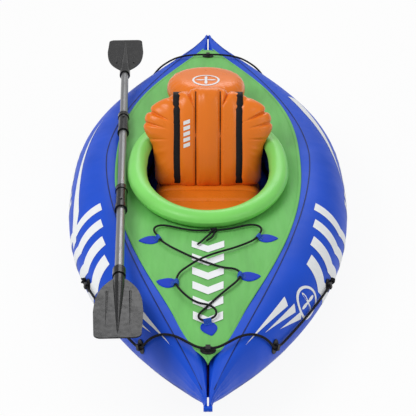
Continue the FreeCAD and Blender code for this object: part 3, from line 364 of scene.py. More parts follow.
def give(piece, key, body="hull"):
    """Finish a new piece and let it ride on its body."""
    piece.data.materials.clear()
    piece.data.materials.append(finish[key])
    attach(piece, body)
    return piece


# ---------------------------------------------------------------- hull surface
HALF_LENGTH = 1.45
TUBE_LIFT = 0.0002


def taper(share, inner, outer):
    """Width share at a station, (1 - share^inner)^outer, and nought past the end."""
    return np.clip(1 - np.abs(share) ** inner, 0, None) ** outer


def keel(y):
    """Height of the bottom: flat amidships, then a power curve up to each tip."""
    rise = np.clip((np.abs(y) / HALF_LENGTH - 0.42) / 0.58, 0, None)
    return 0.2063 * rise ** 2.5


def station(y):
    """Seam, outer and inner reach, mid height, half height and share of length at y."""
    share = np.minimum(np.abs(y) / HALF_LENGTH, 1)
    top = 0.2994 - 0.0884 * share ** 1.38
    half = np.maximum((top - keel(y) - TUBE_LIFT) / 2, 0.015)
    seam = 0.3633 * taper(share, 1.769, 1.295) + 0.006
    outer = np.maximum(0.5086 * taper(share, 2.534, 1.485), seam + 0.004)
    outer = outer + 0.010 * bell(share, 0.925, 0.045)
    room, reach = seam - 0.002, 0.118
    inner = room * reach / (room ** 6 + reach ** 6) ** (1 / 6)
    return seam, outer, inner, top - half, half, share


def tube_point(y, angle):
    """The port tube's skin at a station and an angle; 0 faces outboard, a quarter turn is up.

    Outboard it is an ellipse from the seam; inboard it squares off as the tubes meet.
    """
    seam, outer, inner, middle, half, share = station(y)
    cos, sin = np.cos(angle), np.sin(angle)
    chine = np.where(sin < 0, 1 + 0.1865 * share ** 3, 1.0)
    square = np.where(sin > 0, 2 / (2 + 2 * share ** 4), 1.0)
    out = cos >= 0
    x = np.where(out, seam + (outer - seam) * np.abs(cos) ** chine,
                 seam - inner * np.abs(cos) ** square)
    rise = np.sign(sin) * np.abs(sin) ** np.where(out, 1.0, square)
    return np.stack([x, y + 0 * angle, middle + half * rise], axis=-1)


def tube_normal(y, angle):
    """The skin's outward direction, from the cross product of its two tangents."""
    step = 1e-3
    round_way = tube_point(y, angle + step) - tube_point(y, angle - step)
    long_way = tube_point(y + step, angle) - tube_point(y - step, angle)
    normal = np.cross(long_way, round_way)
    normal /= np.linalg.norm(normal, axis=-1, keepdims=True) + 1e-12
    middle = np.stack([station(y)[0] + 0 * angle, y + 0 * angle, station(y)[3] + 0 * angle], -1)
    facing = np.sum(normal * (tube_point(y, angle) - middle), axis=-1, keepdims=True)
    return normal * np.where(facing < 0, -1, 1)


def make_hull_tube(name, side):
    """A long air tube: sections crowd towards its tips, where the skin gathers in folds.

    The folds push the skin in by up to 2.5 mm times a sum of sines round the section.
    """
    rows, columns = 240, 128
    y = -HALF_LENGTH * np.cos(np.linspace(0, np.pi, rows))[:, None]
    angle = (np.linspace(0, 2 * np.pi, columns, endpoint=False) + 0.0123)[None, :]
    points = tube_point(y, angle)
    gather = ease(np.abs(y), 1.16, 1.36) * (1 - ease(np.abs(y), 1.42, 1.45))
    folds = ripple(angle / (2 * np.pi), ((9, 0.4, 0.5), (14, 1.9, 0.3), (23, 0.2, 0.2)))
    slack = ripple(y / 2.9, ((11, 0.3 + side, 0.5), (17, 2.2, 0.3), (29, 1.0, 0.2)))
    inboard = bell(angle, np.pi * 0.62, 0.5)
    push = gather * (folds - 1) * 0.0012 + (slack - 1) * 0.0005 * (0.4 + inboard)
    points = points + tube_normal(y, angle) * push[..., None]
    points[..., 0] = np.maximum(points[..., 0], 0.0012) * side
    uv = plain_uv(rows, columns + 1, 2.9, 0.9)
    tube = grid_piece(name, points, uv, wrap_columns=True, flip=side > 0)
    bow = points[:1].mean(axis=1)
    stern = points[-1:].mean(axis=1)
    count = len(tube.data.vertices)
    faces = [(k, (k + 1) % columns, count) for k in range(columns)]
    faces += [((rows - 1) * columns + (k + 1) % columns, (rows - 1) * columns + k, count + 1)
              for k in range(columns)]
    ends = mesh_object(name + "_ends", np.concatenate([points.reshape(-1, 3), bow, stern]),
                       np.array(faces), np.zeros((len(faces) * 3, 2)))
    tube = weld(join(name, [tube, ends]), 1e-6)
    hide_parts("port_side_tube" if side > 0 else "starboard_side_tube")
    return give(tube, "hull")


for word, side in (("port", PORT), ("starboard", STARBOARD)):
    make_hull_tube("hull_tube_" + word, side)


# ---------------------------------------------------------------- prints and weld lines
PRINT_LIFT = 0.0007
EMBLEM_AT = (-0.842, 20)
# The sweep's two edges on each side, as station in metres and angle round the tube in degrees.
SWEEPS = {
    PORT: ([(0.64, 50), (0.46, 50), (0.26, 45), (0.1, 38), (-0.06, 26)],
           [(0.62, 68), (0.44, 64), (0.26, 55), (0.1, 44), (-0.06, 26)]),
    STARBOARD: ([(0.40, 54), (0.1, 46), (-0.16, 36), (-0.34, 26), (-0.47, 8)],
                [(0.40, 54), (0.1, 50), (-0.16, 45), (-0.34, 40), (-0.47, 22)]),
}


def hull_patch(name, side, first, second, lift=PRINT_LIFT, count=24, across=4):
    """A strip lying on a tube between two edges, each given as (station, degrees) points.

    Along an edge the points are joined by a smooth interpolation; across, linearly.
    """
    share = np.linspace(0, 1, count)
    edges = []
    for edge in (first, second):
        edge = np.array(edge, float)
        at = np.linspace(0, 1, len(edge))
        edges.append(np.stack([np.interp(share, at, edge[:, k]) for k in (0, 1)], axis=-1))
    mix = np.linspace(0, 1, across)[None, :, None]
    where = edges[0][:, None] * (1 - mix) + edges[1][:, None] * mix
    y, angle = where[..., 0], np.radians(where[..., 1])
    points = tube_point(y, angle) + tube_normal(y, angle) * lift
    points[..., 0] *= side
    piece = grid_piece(name, points, plain_uv(count, across), flip=False)
    normal = tube_normal(y[:1, :1], angle[:1, :1])[0, 0] * (side, 1, 1)
    return face_along(piece, normal)


def face_along(piece, normal):
    """Turn a sheet's faces over if they look away from a direction."""
    if piece.data.polygons[0].normal.dot(Vector(normal)) < 0:
        piece.data.flip_normals()
    return piece


def local_patch(y, degrees, corners):
    """Edges of a patch given in millimetres about a spot: forward to the bow, then up."""
    angle = math.radians(degrees)
    round_way = tube_point(np.array(y), np.array(angle + 1e-3)) - tube_point(
        np.array(y), np.array(angle - 1e-3))
    per_degree = np.linalg.norm(round_way) / 2e-3 * math.radians(1)
    return [(y - a / 1000, degrees + b / 1000 / per_degree) for a, b in corners]


def emblem_ring(centre, surface, inner, outer, count=72):
    """A flat ring and a four-pointed star inside it, laid on a surface.

    The ring lies between two ellipses; the star's edge swings between a long and a short
    radius, long * |cos 2t| ^ 4 + short.
    """
    turn = np.linspace(0, 2 * np.pi, count + 1)[:-1]
    shapes = []
    radius = np.stack([np.full(count, inner), np.full(count, outer)], axis=1)
    shapes.append(radius)
    star = 0.86 * inner * (0.16 + 0.84 * np.abs(np.cos(2 * turn)) ** 5)
    shapes.append(np.stack([np.zeros(count), star], axis=1))
    pieces = []
    for index, radius in enumerate(shapes):
        along, up = radius * np.cos(turn)[:, None], radius * np.sin(turn)[:, None]
        points = surface(centre[0] + along, centre[1] + up)
        pieces.append(grid_piece("emblem_%d" % index, points, plain_uv(count + 1, 2),
                                 wrap_rows=True))
    return pieces


def chevron(side, y, degrees, reach, rise, width):
    """Two slanting bars that meet in a point towards the bow, in millimetres."""
    upper = ([(reach, 0), (0, rise)], [(reach - width, 0), (-width, rise)])
    lower = ([(reach, 0), (0, -rise)], [(reach - width, 0), (-width, -rise)])
    return [hull_patch("chevron", side, local_patch(y, degrees, a),
                       local_patch(y, degrees, b)) for a, b in (upper, lower)]


def make_hull_prints(side):
    """White prints on a tube: a sweep, a row of bars, chevrons, an emblem and three wedges."""
    word = "port" if side > 0 else "starboard"
    pieces = [hull_patch("sweep", side, *SWEEPS[side])]
    for index in range(9):
        y = 0.30 - 0.062 * index
        low, high = (-16, 22) if index % 3 else (-22, 14)
        lean = 0.022
        pieces.append(hull_patch("bar", side, [(y, low), (y + lean, high)],
                                 [(y - 0.036, low), (y + lean - 0.036, high)]))
    for index, (rise, width) in enumerate(((118, 46), (112, 50), (104, 54), (92, 58))):
        pieces += chevron(side, -0.40 - 0.105 * index, 27 - 3.5 * index, 52, rise, width)
    wedges = (((-0.905, 58), (-0.93, 44), (-1.17, 62)), ((-0.902, 38), (-0.92, 26), (-1.08, 44)),
              ((-0.892, 19), (-0.905, 8), (-1.02, 26)))
    for a, b, tip in wedges:
        pieces.append(hull_patch("wedge", side, [a, tip], [b, tip]))

    def on_tube(forward, up):
        y0, degrees0 = EMBLEM_AT
        scale = local_patch(y0, degrees0, [(0, 1000)])[0][1] - degrees0
        y, angle = y0 - forward, np.radians(degrees0 + up * scale)
        points = tube_point(y, angle) + tube_normal(y, angle) * PRINT_LIFT
        points[..., 0] *= side
        return points

    rings = emblem_ring((0.0, 0.0), on_tube, 0.048, 0.058)
    normal = tube_normal(np.array(EMBLEM_AT[0]), np.array(math.radians(EMBLEM_AT[1])))
    normal = normal * (side, 1, 1)
    pieces += [face_along(piece, normal) for piece in rings]
    return give(join("hull_prints_" + word, pieces), "print")


def make_weld_lines(side):
    """Dark weld lines along a tube, at its top and under its outer side."""
    word = "port" if side > 0 else "starboard"
    y = np.linspace(-1.39, 1.39, 61)
    half = 0.0016 * (1 - 0.7 * ease(np.abs(y), 1.15, 1.36))
    pieces = []
    for degrees in (88.0, -47.0):
        angle = math.radians(degrees)
        slope = np.linalg.norm(tube_point(y, np.full_like(y, angle + 1e-3))
                               - tube_point(y, np.full_like(y, angle - 1e-3)), axis=-1) / 2e-3
        width = np.degrees(half / slope)
        first = np.stack([y, degrees - width], axis=-1)
        second = np.stack([y, degrees + width], axis=-1)
        pieces.append(hull_patch("weld", side, first, second, 0.0010, 240, 3))
    return give(join("weld_lines_" + word, pieces), "welt")


for side in (PORT, STARBOARD):
    make_hull_prints(side)
    make_weld_lines(side)


# ---------------------------------------------------------------- deck
def tube_top(x, y):
    """Height of the tubes' upper skin at a distance x from the centre line, inboard."""
    seam, outer, inner, middle, half, share = station(y)
    power = 2 / (2 + 2 * share ** 4)
    cos = np.clip((seam - x) / inner, 0, 1) ** (1 / power)
    return middle + half * np.sqrt(1 - cos ** 2) ** power


def deck_half_width(y):
    return 0.3392 * taper(y / (HALF_LENGTH * 0.9342), 2.374, 1.609)


def cloth_half_width(y):
    """The cut cloth's half width: fuller at the bow, and brought to a point short of it."""
    fuller = deck_half_width(y) + 0.011 * bell(y, -1.14, 0.11)
    return fuller * np.clip((y + 1.276) / 0.085, 0, 1) ** 0.8


def deck_height(x, y):
    """Top of the deck cloth: a parabola between its edges, pressed down round the cockpit."""
    edge = np.maximum(deck_half_width(y), 0.001)
    crown = 0.008 - 0.033 * np.exp(-((y + 0.15) / 0.3) ** 2)
    return tube_top(edge, y) + 0.0003 + 0.0015 + crown * (1 - (x / edge) ** 2)


COAMING_CENTRE = -0.15
DECK_BOW = -1.276
DECK_STERN = 1.225
COCKPIT_OPENING_AREA = 0.243


def coaming_line(angle, inset=0.0):
    """The ring's plan: |x/a|^p + |y/b|^p = 1, rounder at the bow end than at the stern end."""
    power = np.where(np.sin(angle) > 0, 2.6, 2.0)
    across = np.sign(np.cos(angle)) * np.abs(np.cos(angle)) ** (2 / power)
    along = np.sign(np.sin(angle)) * np.abs(np.sin(angle)) ** (2 / power)
    return (0.255 - inset) * across, COAMING_CENTRE + (0.370 - inset) * along


def make_deck():
    """The deck cloth between the cockpit and its outer edge, with small real wrinkles.

    A point is a straight mix of the opening's edge and the deck's edge at the same share of
    the way round; wrinkles fan from the ring and run along the edges.
    """
    around, across = 520, 72
    share = np.linspace(-1, 1, around, endpoint=False)
    half_turn = np.abs(share)
    side = np.where(share >= 0, 1, -1)
    angle = np.pi * (half_turn - 0.5)
    inner_x, inner_y = coaming_line(angle, 0.012)
    forward = half_turn ** 0.85
    outer_y = DECK_BOW + (DECK_STERN - DECK_BOW) * forward
    outer_x = cloth_half_width(outer_y)
    mix = np.linspace(0, 1, across)[None, :] ** 1.15
    x = (np.abs(inner_x)[:, None] * (1 - mix) + outer_x[:, None] * mix) * side[:, None]
    y = inner_y[:, None] * (1 - mix) + outer_y[:, None] * mix
    height = deck_height(x, y)
    fan = ripple(share * 2, ((17, 0.5, 0.4), (31, 1.4, 0.35), (47, 2.6, 0.25)))[:, None]
    near = bell(mix, 0.16, 0.16) * (1 - 0.5 * bell(y, -0.15, 0.3))
    pulls = ripple(x * 4, ((5, 0.1, 0.5), (8.7, 1.1, 0.5))) * bell(y, -0.9, 0.4)
    edge = ease(1 - mix, 0.0, 0.12)
    height = height + (fan * near * 0.0011 + pulls * 0.0006 - 0.0008) * edge
    points = np.stack([x, y, height], axis=-1)
    uv = np.stack([x, y], axis=-1)
    uv = np.concatenate([uv, uv[:1]])
    deck = grid_piece("deck_cloth", points, uv, wrap_rows=True)
    face_along(deck, (0, 0, 1))
    thick = deck.modifiers.new("cloth", "SOLIDIFY")
    thick.thickness = 0.0012
    thick.offset = -1
    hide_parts("deck_cover")
    line = np.linspace(DECK_BOW, DECK_STERN, 200)
    area = float(np.sum(2 * cloth_half_width(line)) * (line[1] - line[0]))
    area -= COCKPIT_OPENING_AREA
    return give(deck, "deck")


make_deck()


def deck_patch(corners, rows=14, columns=5, lift=0.0011):
    """A four-cornered print on the deck: front left, front right, back right, back left."""
    a, b, c, d = (np.array(p, float) for p in corners)
    u = np.linspace(0, 1, rows)[:, None, None]
    v = np.linspace(0, 1, columns)[None, :, None]
    where = (a * (1 - v) + b * v) * (1 - u) + (d * (1 - v) + c * v) * u
    x, y = where[..., 0], where[..., 1]
    points = np.stack([x, y, deck_height(x, y) + lift], axis=-1)
    return face_along(grid_piece("deck_print", points, plain_uv(rows, columns)), (0, 0, 1))


def make_deck_prints():
    """Six broad chevrons down the middle of the bow deck, each pointing to the bow."""
    pieces = []
    for index in range(6):
        y = -0.645 - 0.080 * index
        wide = 0.054 - 0.0015 * index
        for side in (PORT, STARBOARD):
            pieces.append(deck_patch([(0, y - 0.048), (side * wide, y - 0.014),
                                      (side * wide, y + 0.026), (0, y - 0.008)]))
    return give(join("deck_prints", pieces), "print")


make_deck_prints()


def make_deck_welt():
    """The taped edge of the deck: a low welt that follows the outline."""
    pieces = []
    y = np.linspace(DECK_BOW + 0.004, 1.224, 220)
    for side in (PORT, STARBOARD):
        offset = np.linspace(-1, 1, 7)[None, :]
        x = cloth_half_width(y)[:, None] - 0.006 + 0.0055 * offset
        height = deck_height(x, y[:, None]) + 0.0012 * np.sqrt(
            np.clip(1 - offset ** 2, 0, 1)) + 0.0004
        points = np.stack([np.maximum(x, 0.0005) * side, y[:, None] + 0 * offset, height], -1)
        strip = grid_piece("welt", points, plain_uv(len(y), 7))
        pieces.append(face_along(strip, (0, 0, 1)))
    return give(join("deck_welt", pieces), "deck")


make_deck_welt()


# ---------------------------------------------------------------- coaming
PITCH = math.tan(math.radians(1.0))
_x, _y = coaming_line(np.linspace(0, 2 * np.pi, 33)[:-1])
RING_BASE = float(np.max(deck_height(_x, _y) - PITCH * (_y - COAMING_CENTRE))) + 0.0005 + 0.028


def coaming_height(y):
    return RING_BASE + PITCH * (y - COAMING_CENTRE)


def make_coaming():
    """The inflated ring: an ellipse, 34 by 28 mm half sizes, carried round the plan curve.

    Small puckers, up to 1.4 mm deep, gather along its inner and outer welds.
    """
    around, section = 320, 56
    angle = np.linspace(0, 2 * np.pi, around, endpoint=False) + 0.004
    x, y = coaming_line(angle)
    ahead_x, ahead_y = np.roll(x, -1) - np.roll(x, 1), np.roll(y, -1) - np.roll(y, 1)
    length = np.hypot(ahead_x, ahead_y)
    out_x, out_y = (ahead_y / length)[:, None], (-ahead_x / length)[:, None]
    turn = np.linspace(0, 2 * np.pi, section, endpoint=False)[None, :]
    inner = bell(np.cos(turn), -1, 0.25)
    outer = bell(np.cos(turn), 1, 0.2)
    gather = ripple(angle / (2 * np.pi), ((29, 0.2, 0.4), (41, 1.3, 0.35), (67, 2.0, 0.25)))
    depth = 0.0008 * (gather - 1)[:, None] * (inner + 0.7 * outer)
    rim = 0.0016 * bell(np.cos(turn), 1, 0.004) + 0.0016 * bell(np.cos(turn), -1, 0.004)
    reach = (0.034 + depth + rim) * np.cos(turn)
    rise = 0.028 * np.sin(turn)
    points = np.stack([x[:, None] + out_x * reach, y[:, None] + out_y * reach,
                       coaming_height(y)[:, None] + rise], axis=-1)
    ring = grid_piece("cockpit_coaming", points, plain_uv(around + 1, section + 1, 2.0, 0.2),
                      wrap_rows=True, wrap_columns=True)
    weld(ring, 1e-7)
    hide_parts("coaming_ring")
    return give(ring, "ring")


make_coaming()


# ---------------------------------------------------------------- cushions
def cushion(name, edge, front, back, place, around=220, rings=44):
    """A closed pad from its outline: points run from the front's middle over the rim to the back's.

    edge(turn) is the rim's distance from the middle; front and back give the height at
    (across, up, share of the way to the rim).
    """
    turn = np.linspace(0, 2 * np.pi, around, endpoint=False)[None, :]
    share = np.sin(np.linspace(0, np.pi / 2, rings))[:, None]
    far = edge(turn)
    across, up = share * far * np.cos(turn), share * far * np.sin(turn)
    top = np.stack([across, up, front(across, up, share) + 0 * up], axis=-1)
    bottom = np.stack([across, up, back(across, up, share) + 0 * up], axis=-1)[::-1][1:]
    local = np.concatenate([top, bottom])
    points = place(local[..., 0], local[..., 1], local[..., 2])
    uv = plain_uv(len(local), around + 1)
    return weld(grid_piece(name, points, uv, wrap_columns=True), 2e-6)


def boxy_edge(half_x, half_y, power):
    """Distance to a superellipse's edge, |x/a|^p + |y/b|^p = 1, in each direction."""
    def edge(turn):
        return (np.abs(np.cos(turn) / half_x) ** power
                + np.abs(np.sin(turn) / half_y) ** power) ** (-1 / power)
    return edge


SEAT_TOP = 0.1963
SEAT_Y = -0.1625


def make_seat():
    """The seat cushion: a crowned slab with welded channels across it."""
    half = 0.0595

    def swell(share):
        return half * (1 - share ** 7) ** (1 / 2.4)

    def channels(across, up, share):
        lines = sum(bell(up, at, 0.007) for at in (-0.17, -0.085, 0.0, 0.085, 0.17))
        sag = bell(up, -0.2, 0.2) * 0.002
        return swell(share) - 0.007 * lines * (1 - ease(np.abs(across), 0.15, 0.19)) - sag * 0.5

    def flat(across, up, share):
        return -swell(share)

    def place(across, up, height):
        return np.stack([across, SEAT_Y + up, SEAT_TOP - half + height], axis=-1)

    seat = cushion("seat_pad", boxy_edge(0.197, 0.2565, 9), channels, flat, place)
    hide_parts("seat_cushion")
    return give(seat, "seat")


make_seat()

LEAN = math.radians(20)
BACK_BASE = (-0.060, 0.19675)
BACK_MIDDLE = 0.181
BACK_HALF = ((0, 0), (120, 0), (184, 3), (198, 26), (197, 60), (198, 100), (205, 150), (226, 186),
             (239, 216), (238, 236), (231, 258), (224, 274), (206, 296), (178, 314), (150, 326),
             (118, 340), (86, 350), (70, 352), (46, 361), (0, 363))


def back_edge(turn):
    """The back's rim: its half outline mirrored, smoothed, and pinched where it puckers."""
    outline = np.array(BACK_HALF, float) / 1000
    across = np.concatenate([outline[:, 0], -outline[-2:0:-1, 0]])
    up = np.concatenate([outline[:, 1], outline[-2:0:-1, 1]]) - BACK_MIDDLE
    bearing, far = np.arctan2(up, across), np.hypot(across, up)
    order = np.argsort(bearing)
    bearing, far = bearing[order], far[order]
    bearing = np.concatenate([bearing - 2 * np.pi, bearing, bearing + 2 * np.pi])
    dense = np.linspace(-np.pi, np.pi, 1440, endpoint=False)
    rim = np.interp(dense, bearing, np.tile(far, 3))
    kernel = np.exp(-(np.arange(-24, 25) / 9.0) ** 2)
    padded = np.concatenate([rim[-24:], rim, rim[:24]])
    rim = np.convolve(padded, kernel / kernel.sum(), "valid")
    for at, depth, width in BACK_PUCKERS:
        for bearing_at in (at, math.pi - at):
            apart = (dense - bearing_at + np.pi) % (2 * np.pi) - np.pi
            rim = rim - depth * np.exp(-np.abs(apart / width) ** 1.5)
    return np.interp((turn + np.pi) % (2 * np.pi) - np.pi, np.append(dense, np.pi),
                     np.append(rim, rim[0]))


BACK_PUCKERS = ((math.radians(66), 0.012, 0.034), (math.radians(45), 0.003, 0.04),
                (math.radians(24), 0.014, 0.03), (math.radians(13), 0.009, 0.03),
                (math.radians(-2), 0.003, 0.03))


def back_front(across, up, share):
    """The back's front face: a rounded rim, columns between seams, and puckers at the rim."""
    swell = -0.034 + 0.052 * (1 - share ** 6) ** (1 / 2.1)
    seams = bell(np.abs(across), 0.045, 0.0065) * 0.010 + bell(np.abs(across), 0.1135, 0.016) * 0.008
    column = 0.006 * np.cos(np.clip(across / 0.045, -1, 1) * np.pi / 2) ** 2
    turn = np.arctan2(up, across)
    lines = ripple(turn / (2 * np.pi), ((19, 0.3, 0.4), (31, 1.2, 0.35), (53, 2.2, 0.25)))
    rim = bell(share, 0.88, 0.1)
    mirrored = np.where(np.abs(turn) > np.pi / 2, np.sign(turn) * np.pi - turn, turn)
    creases = sum(depth * bell(mirrored, at, 0.6 * width) for at, depth, width in BACK_PUCKERS)
    creases = creases * ease(share, 0.62, 0.92) * (1 - ease(share, 0.97, 1))
    return (swell - seams * (1 - ease(share, 0.93, 1)) + column + lines * rim * 0.0013
            - 0.9 * creases)


def back_rear(across, up, share):
    return -0.034 - 0.050 * (1 - share ** 4) ** (1 / 2)


def back_place(across, up, height):
    """From the back's own axes to the boat: leaned back, and flat where it rests on the seat."""
    v = up + BACK_MIDDLE
    y = BACK_BASE[0] + v * math.sin(LEAN) - height * math.cos(LEAN)
    z = BACK_BASE[1] + v * math.cos(LEAN) + height * math.sin(LEAN)
    return np.stack([across, y, np.maximum(z, SEAT_TOP + 0.0006)], axis=-1)


def back_share(across, up):
    """How far a spot lies towards the rim, 0 in the middle and 1 at the rim."""
    return np.clip(np.hypot(across, up) / back_edge(np.arctan2(up, across)), 0, 1)


def make_back():
    pad = cushion("back_pad", back_edge, back_front, back_rear, back_place, 420, 70)
    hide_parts("backrest")
    return give(pad, "seat", "backrest")


make_back()


def back_line(across, low, high, half, lift, count=70):
    """A thin strip up the front face at a distance from its middle."""
    up = np.linspace(low, high, count)[:, None] - BACK_MIDDLE
    side = np.linspace(-1, 1, 5)[None, :]
    u = across + half * side + 0 * up
    height = back_front(u, up, back_share(u, up)) + lift
    points = back_place(u, up + 0 * side, height)
    strip = grid_piece("back_line", points, plain_uv(count, 5, high - low, 2 * half))
    return face_along(strip, (0, -1, 0.3))


def make_back_seams():
    pieces = [back_line(side * 0.045, 0.006, 0.350, 0.0018, 0.0012) for side in (-1, 1)]
    return give(join("back_seams", pieces), "seam", body="backrest")


def make_back_print():
    """A small upright mark left of the middle: stacked slanting bars."""
    pieces = []
    for index in range(5):
        base = 0.148 + 0.021 * index
        up = np.linspace(base, base + 0.014, 4)[:, None] - BACK_MIDDLE
        u = -0.090 + np.linspace(0, 0.024, 6)[None, :] + 0 * up
        up = up + (u + 0.078) * 0.35
        height = back_front(u, up, back_share(u, up)) + 0.0012
        pieces.append(face_along(grid_piece("mark", back_place(u, up, height), plain_uv(4, 6)),
                                 (0, -1, 0.3)))
    return give(join("back_print", pieces), "print", body="backrest")


make_back_seams()
make_back_print()


def make_strap(word, side):
    """A webbing strap: up the front in its groove, over the top and down the back."""
    across = side * 0.1135
    rim = float(back_edge(np.arctan2(0.165, across)))
    up = np.linspace(0.012, 0.330, 60) - BACK_MIDDLE
    front = back_front(across, up, back_share(across, up)) + 0.0022
    top = math.sqrt(rim ** 2 - across ** 2)
    over = np.linspace(0, 1, 24)[1:]
    over_up = np.where(over < 0.5, up[-1] + (top + 0.004 - up[-1]) * np.sin(over * np.pi),
                       top + 0.004 - (1 - np.sin(over * np.pi)) * 0.060)
    over_height = front[-1] + (-0.093 - front[-1]) * (1 - np.cos(over * np.pi)) / 2
    line_up = np.concatenate([up, over_up])
    line_height = np.concatenate([front, over_height])
    step_up, step_height = np.gradient(line_up), np.gradient(line_height)
    size = np.hypot(step_up, step_height)
    side_up, side_height = -step_height / size, step_up / size
    half, thick = 0.0150, 0.0010
    section = np.array([(-1, -1), (-0.96, 1), (0, 1.15), (0.96, 1), (1, -1), (0, -1)])
    u = across + half * section[None, :, 0]
    v = line_up[:, None] + side_up[:, None] * thick * section[None, :, 1]
    n = line_height[:, None] + side_height[:, None] * thick * section[None, :, 1]
    points = back_place(u + 0 * v, v, n)
    strap = grid_piece("strap_" + word, points, plain_uv(len(v), 7, 0.5, 0.06), wrap_columns=True)
    caps = []
    for row in (0, len(v) - 1):
        start = row * 6
        caps.append([start + k for k in range(6)])
    ends = mesh_object("strap_ends", points.reshape(-1, 3),
                       np.array([caps[0], caps[1][::-1]]), np.zeros((12, 2)))
    strap = weld(join("strap_" + word, [strap, ends]), 1e-6)
    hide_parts("backrest_strap_" + word)
    return give(strap, "strap", "backrest")


for word, side in (("starboard", STARBOARD), ("port", PORT)):
    make_strap(word, side)


PILLOW_LOW, PILLOW_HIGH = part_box("rear_pillow")
PILLOW_MIDDLE = (-0.008, 0.505)
PILLOW_PITCH = math.tan(math.radians(2.4))
PILLOW_Z = (PILLOW_LOW[2] + PILLOW_HIGH[2]) / 2


def pillow_top(across, up, share):
    """The pillow's dome, with soft puckers round its rim."""
    turn = np.arctan2(up, across)
    lines = ripple(turn / (2 * np.pi), ((17, 0.7, 0.4), (29, 0.2, 0.35), (43, 1.2, 0.25)))
    return 0.057 * (1 - share ** 5) ** (1 / 2.1) + lines * bell(share, 0.9, 0.09) * 0.0018


def make_pillow():
    def low(across, up, share):
        return -0.054 * (1 - share ** 5) ** (1 / 2.2)

    def place(across, up, height):
        return np.stack([PILLOW_MIDDLE[0] + across, PILLOW_MIDDLE[1] + up,
                         PILLOW_Z + height - up * PILLOW_PITCH], axis=-1)

    pad = cushion("stern_pillow", boxy_edge(0.155, 0.154, 2.1), pillow_top, low, place)
    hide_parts("rear_pillow")

    def on_pillow(x, y):
        share = np.clip(np.hypot(x / 0.155, y / 0.154), 0, 1)
        points = place(x, y, pillow_top(x, y, share))
        points[..., 2] += 0.0014
        return points

    rings = emblem_ring((0.0, -0.051), on_pillow, 0.046, 0.054)
    rings = [face_along(piece, (0, 0, 1)) for piece in rings]
    give(join("pillow_print", rings), "print")
    return give(pad, "seat")


make_pillow()


def make_floor():
    """The air floor: a flat mattress with lengthwise channels, between the tubes."""
    rows, columns = 120, 96
    y = np.linspace(-0.600, 0.600, rows)[:, None]
    seam, outer, inner, middle, half, share = station(y)
    drop = np.clip((middle - 0.077) / half, 0, 1)
    wide = seam - inner * np.sqrt(1 - drop ** 2) - 0.004
    turn = np.linspace(0, 2 * np.pi, columns, endpoint=False)[None, :]
    across = np.sign(np.cos(turn)) * np.abs(np.cos(turn)) ** 0.35
    tall = np.sign(np.sin(turn)) * np.abs(np.sin(turn)) ** 0.35
    rounding = np.clip((0.600 - np.abs(y)) / 0.03, 0, 1)
    height = 0.0375 * tall * (0.55 + 0.45 * np.sqrt(1 - (1 - rounding) ** 2))
    channel = 0.0035 * (np.cos(across * wide / 0.052 * 2 * np.pi) - 1) * (tall > 0.98)
    points = np.stack([wide * across, y + 0 * turn, 0.0395 + height + channel * rounding], -1)
    floor = grid_piece("air_floor", points, plain_uv(rows, columns + 1), wrap_columns=True)
    count = rows * columns
    ends = np.stack([points[0].mean(axis=0), points[-1].mean(axis=0)])
    faces = [(k, (k + 1) % columns, count) for k in range(columns)]
    faces += [(count - columns + (k + 1) % columns, count - columns + k, count + 1)
              for k in range(columns)]
    caps = mesh_object("floor_ends", np.concatenate([points.reshape(-1, 3), ends]),
                       np.array(faces), np.zeros((len(faces) * 3, 2)))
    floor = weld(join("air_floor", [floor, caps]), 1e-6)
    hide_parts("floor_mat")
    return give(floor, "floor")


make_floor()


# ---------------------------------------------------------------- ropes
def route_line(points):
    """The smooth centre line of a route: a spline with the route's points as its controls."""
    curve = bpy.data.curves.new("route", "CURVE")
    curve.dimensions = "3D"
    spline = curve.splines.new("NURBS")
    spline.points.add(len(points) - 1)
    spline.points.foreach_set("co", np.array([(*p, 1.0) for p in points]).ravel())
    spline.order_u = 3
    spline.use_endpoint_u = True
    spline.resolution_u = 10
    holder = bpy.data.objects.new("route", curve)
    mesh = bpy.data.meshes.new_from_object(holder)
    line = np.empty(len(mesh.vertices) * 3)
    mesh.vertices.foreach_get("co", line)
    bpy.data.objects.remove(holder)
    bpy.data.curves.remove(curve)
    bpy.data.meshes.remove(mesh)
    return line.reshape(-1, 3)


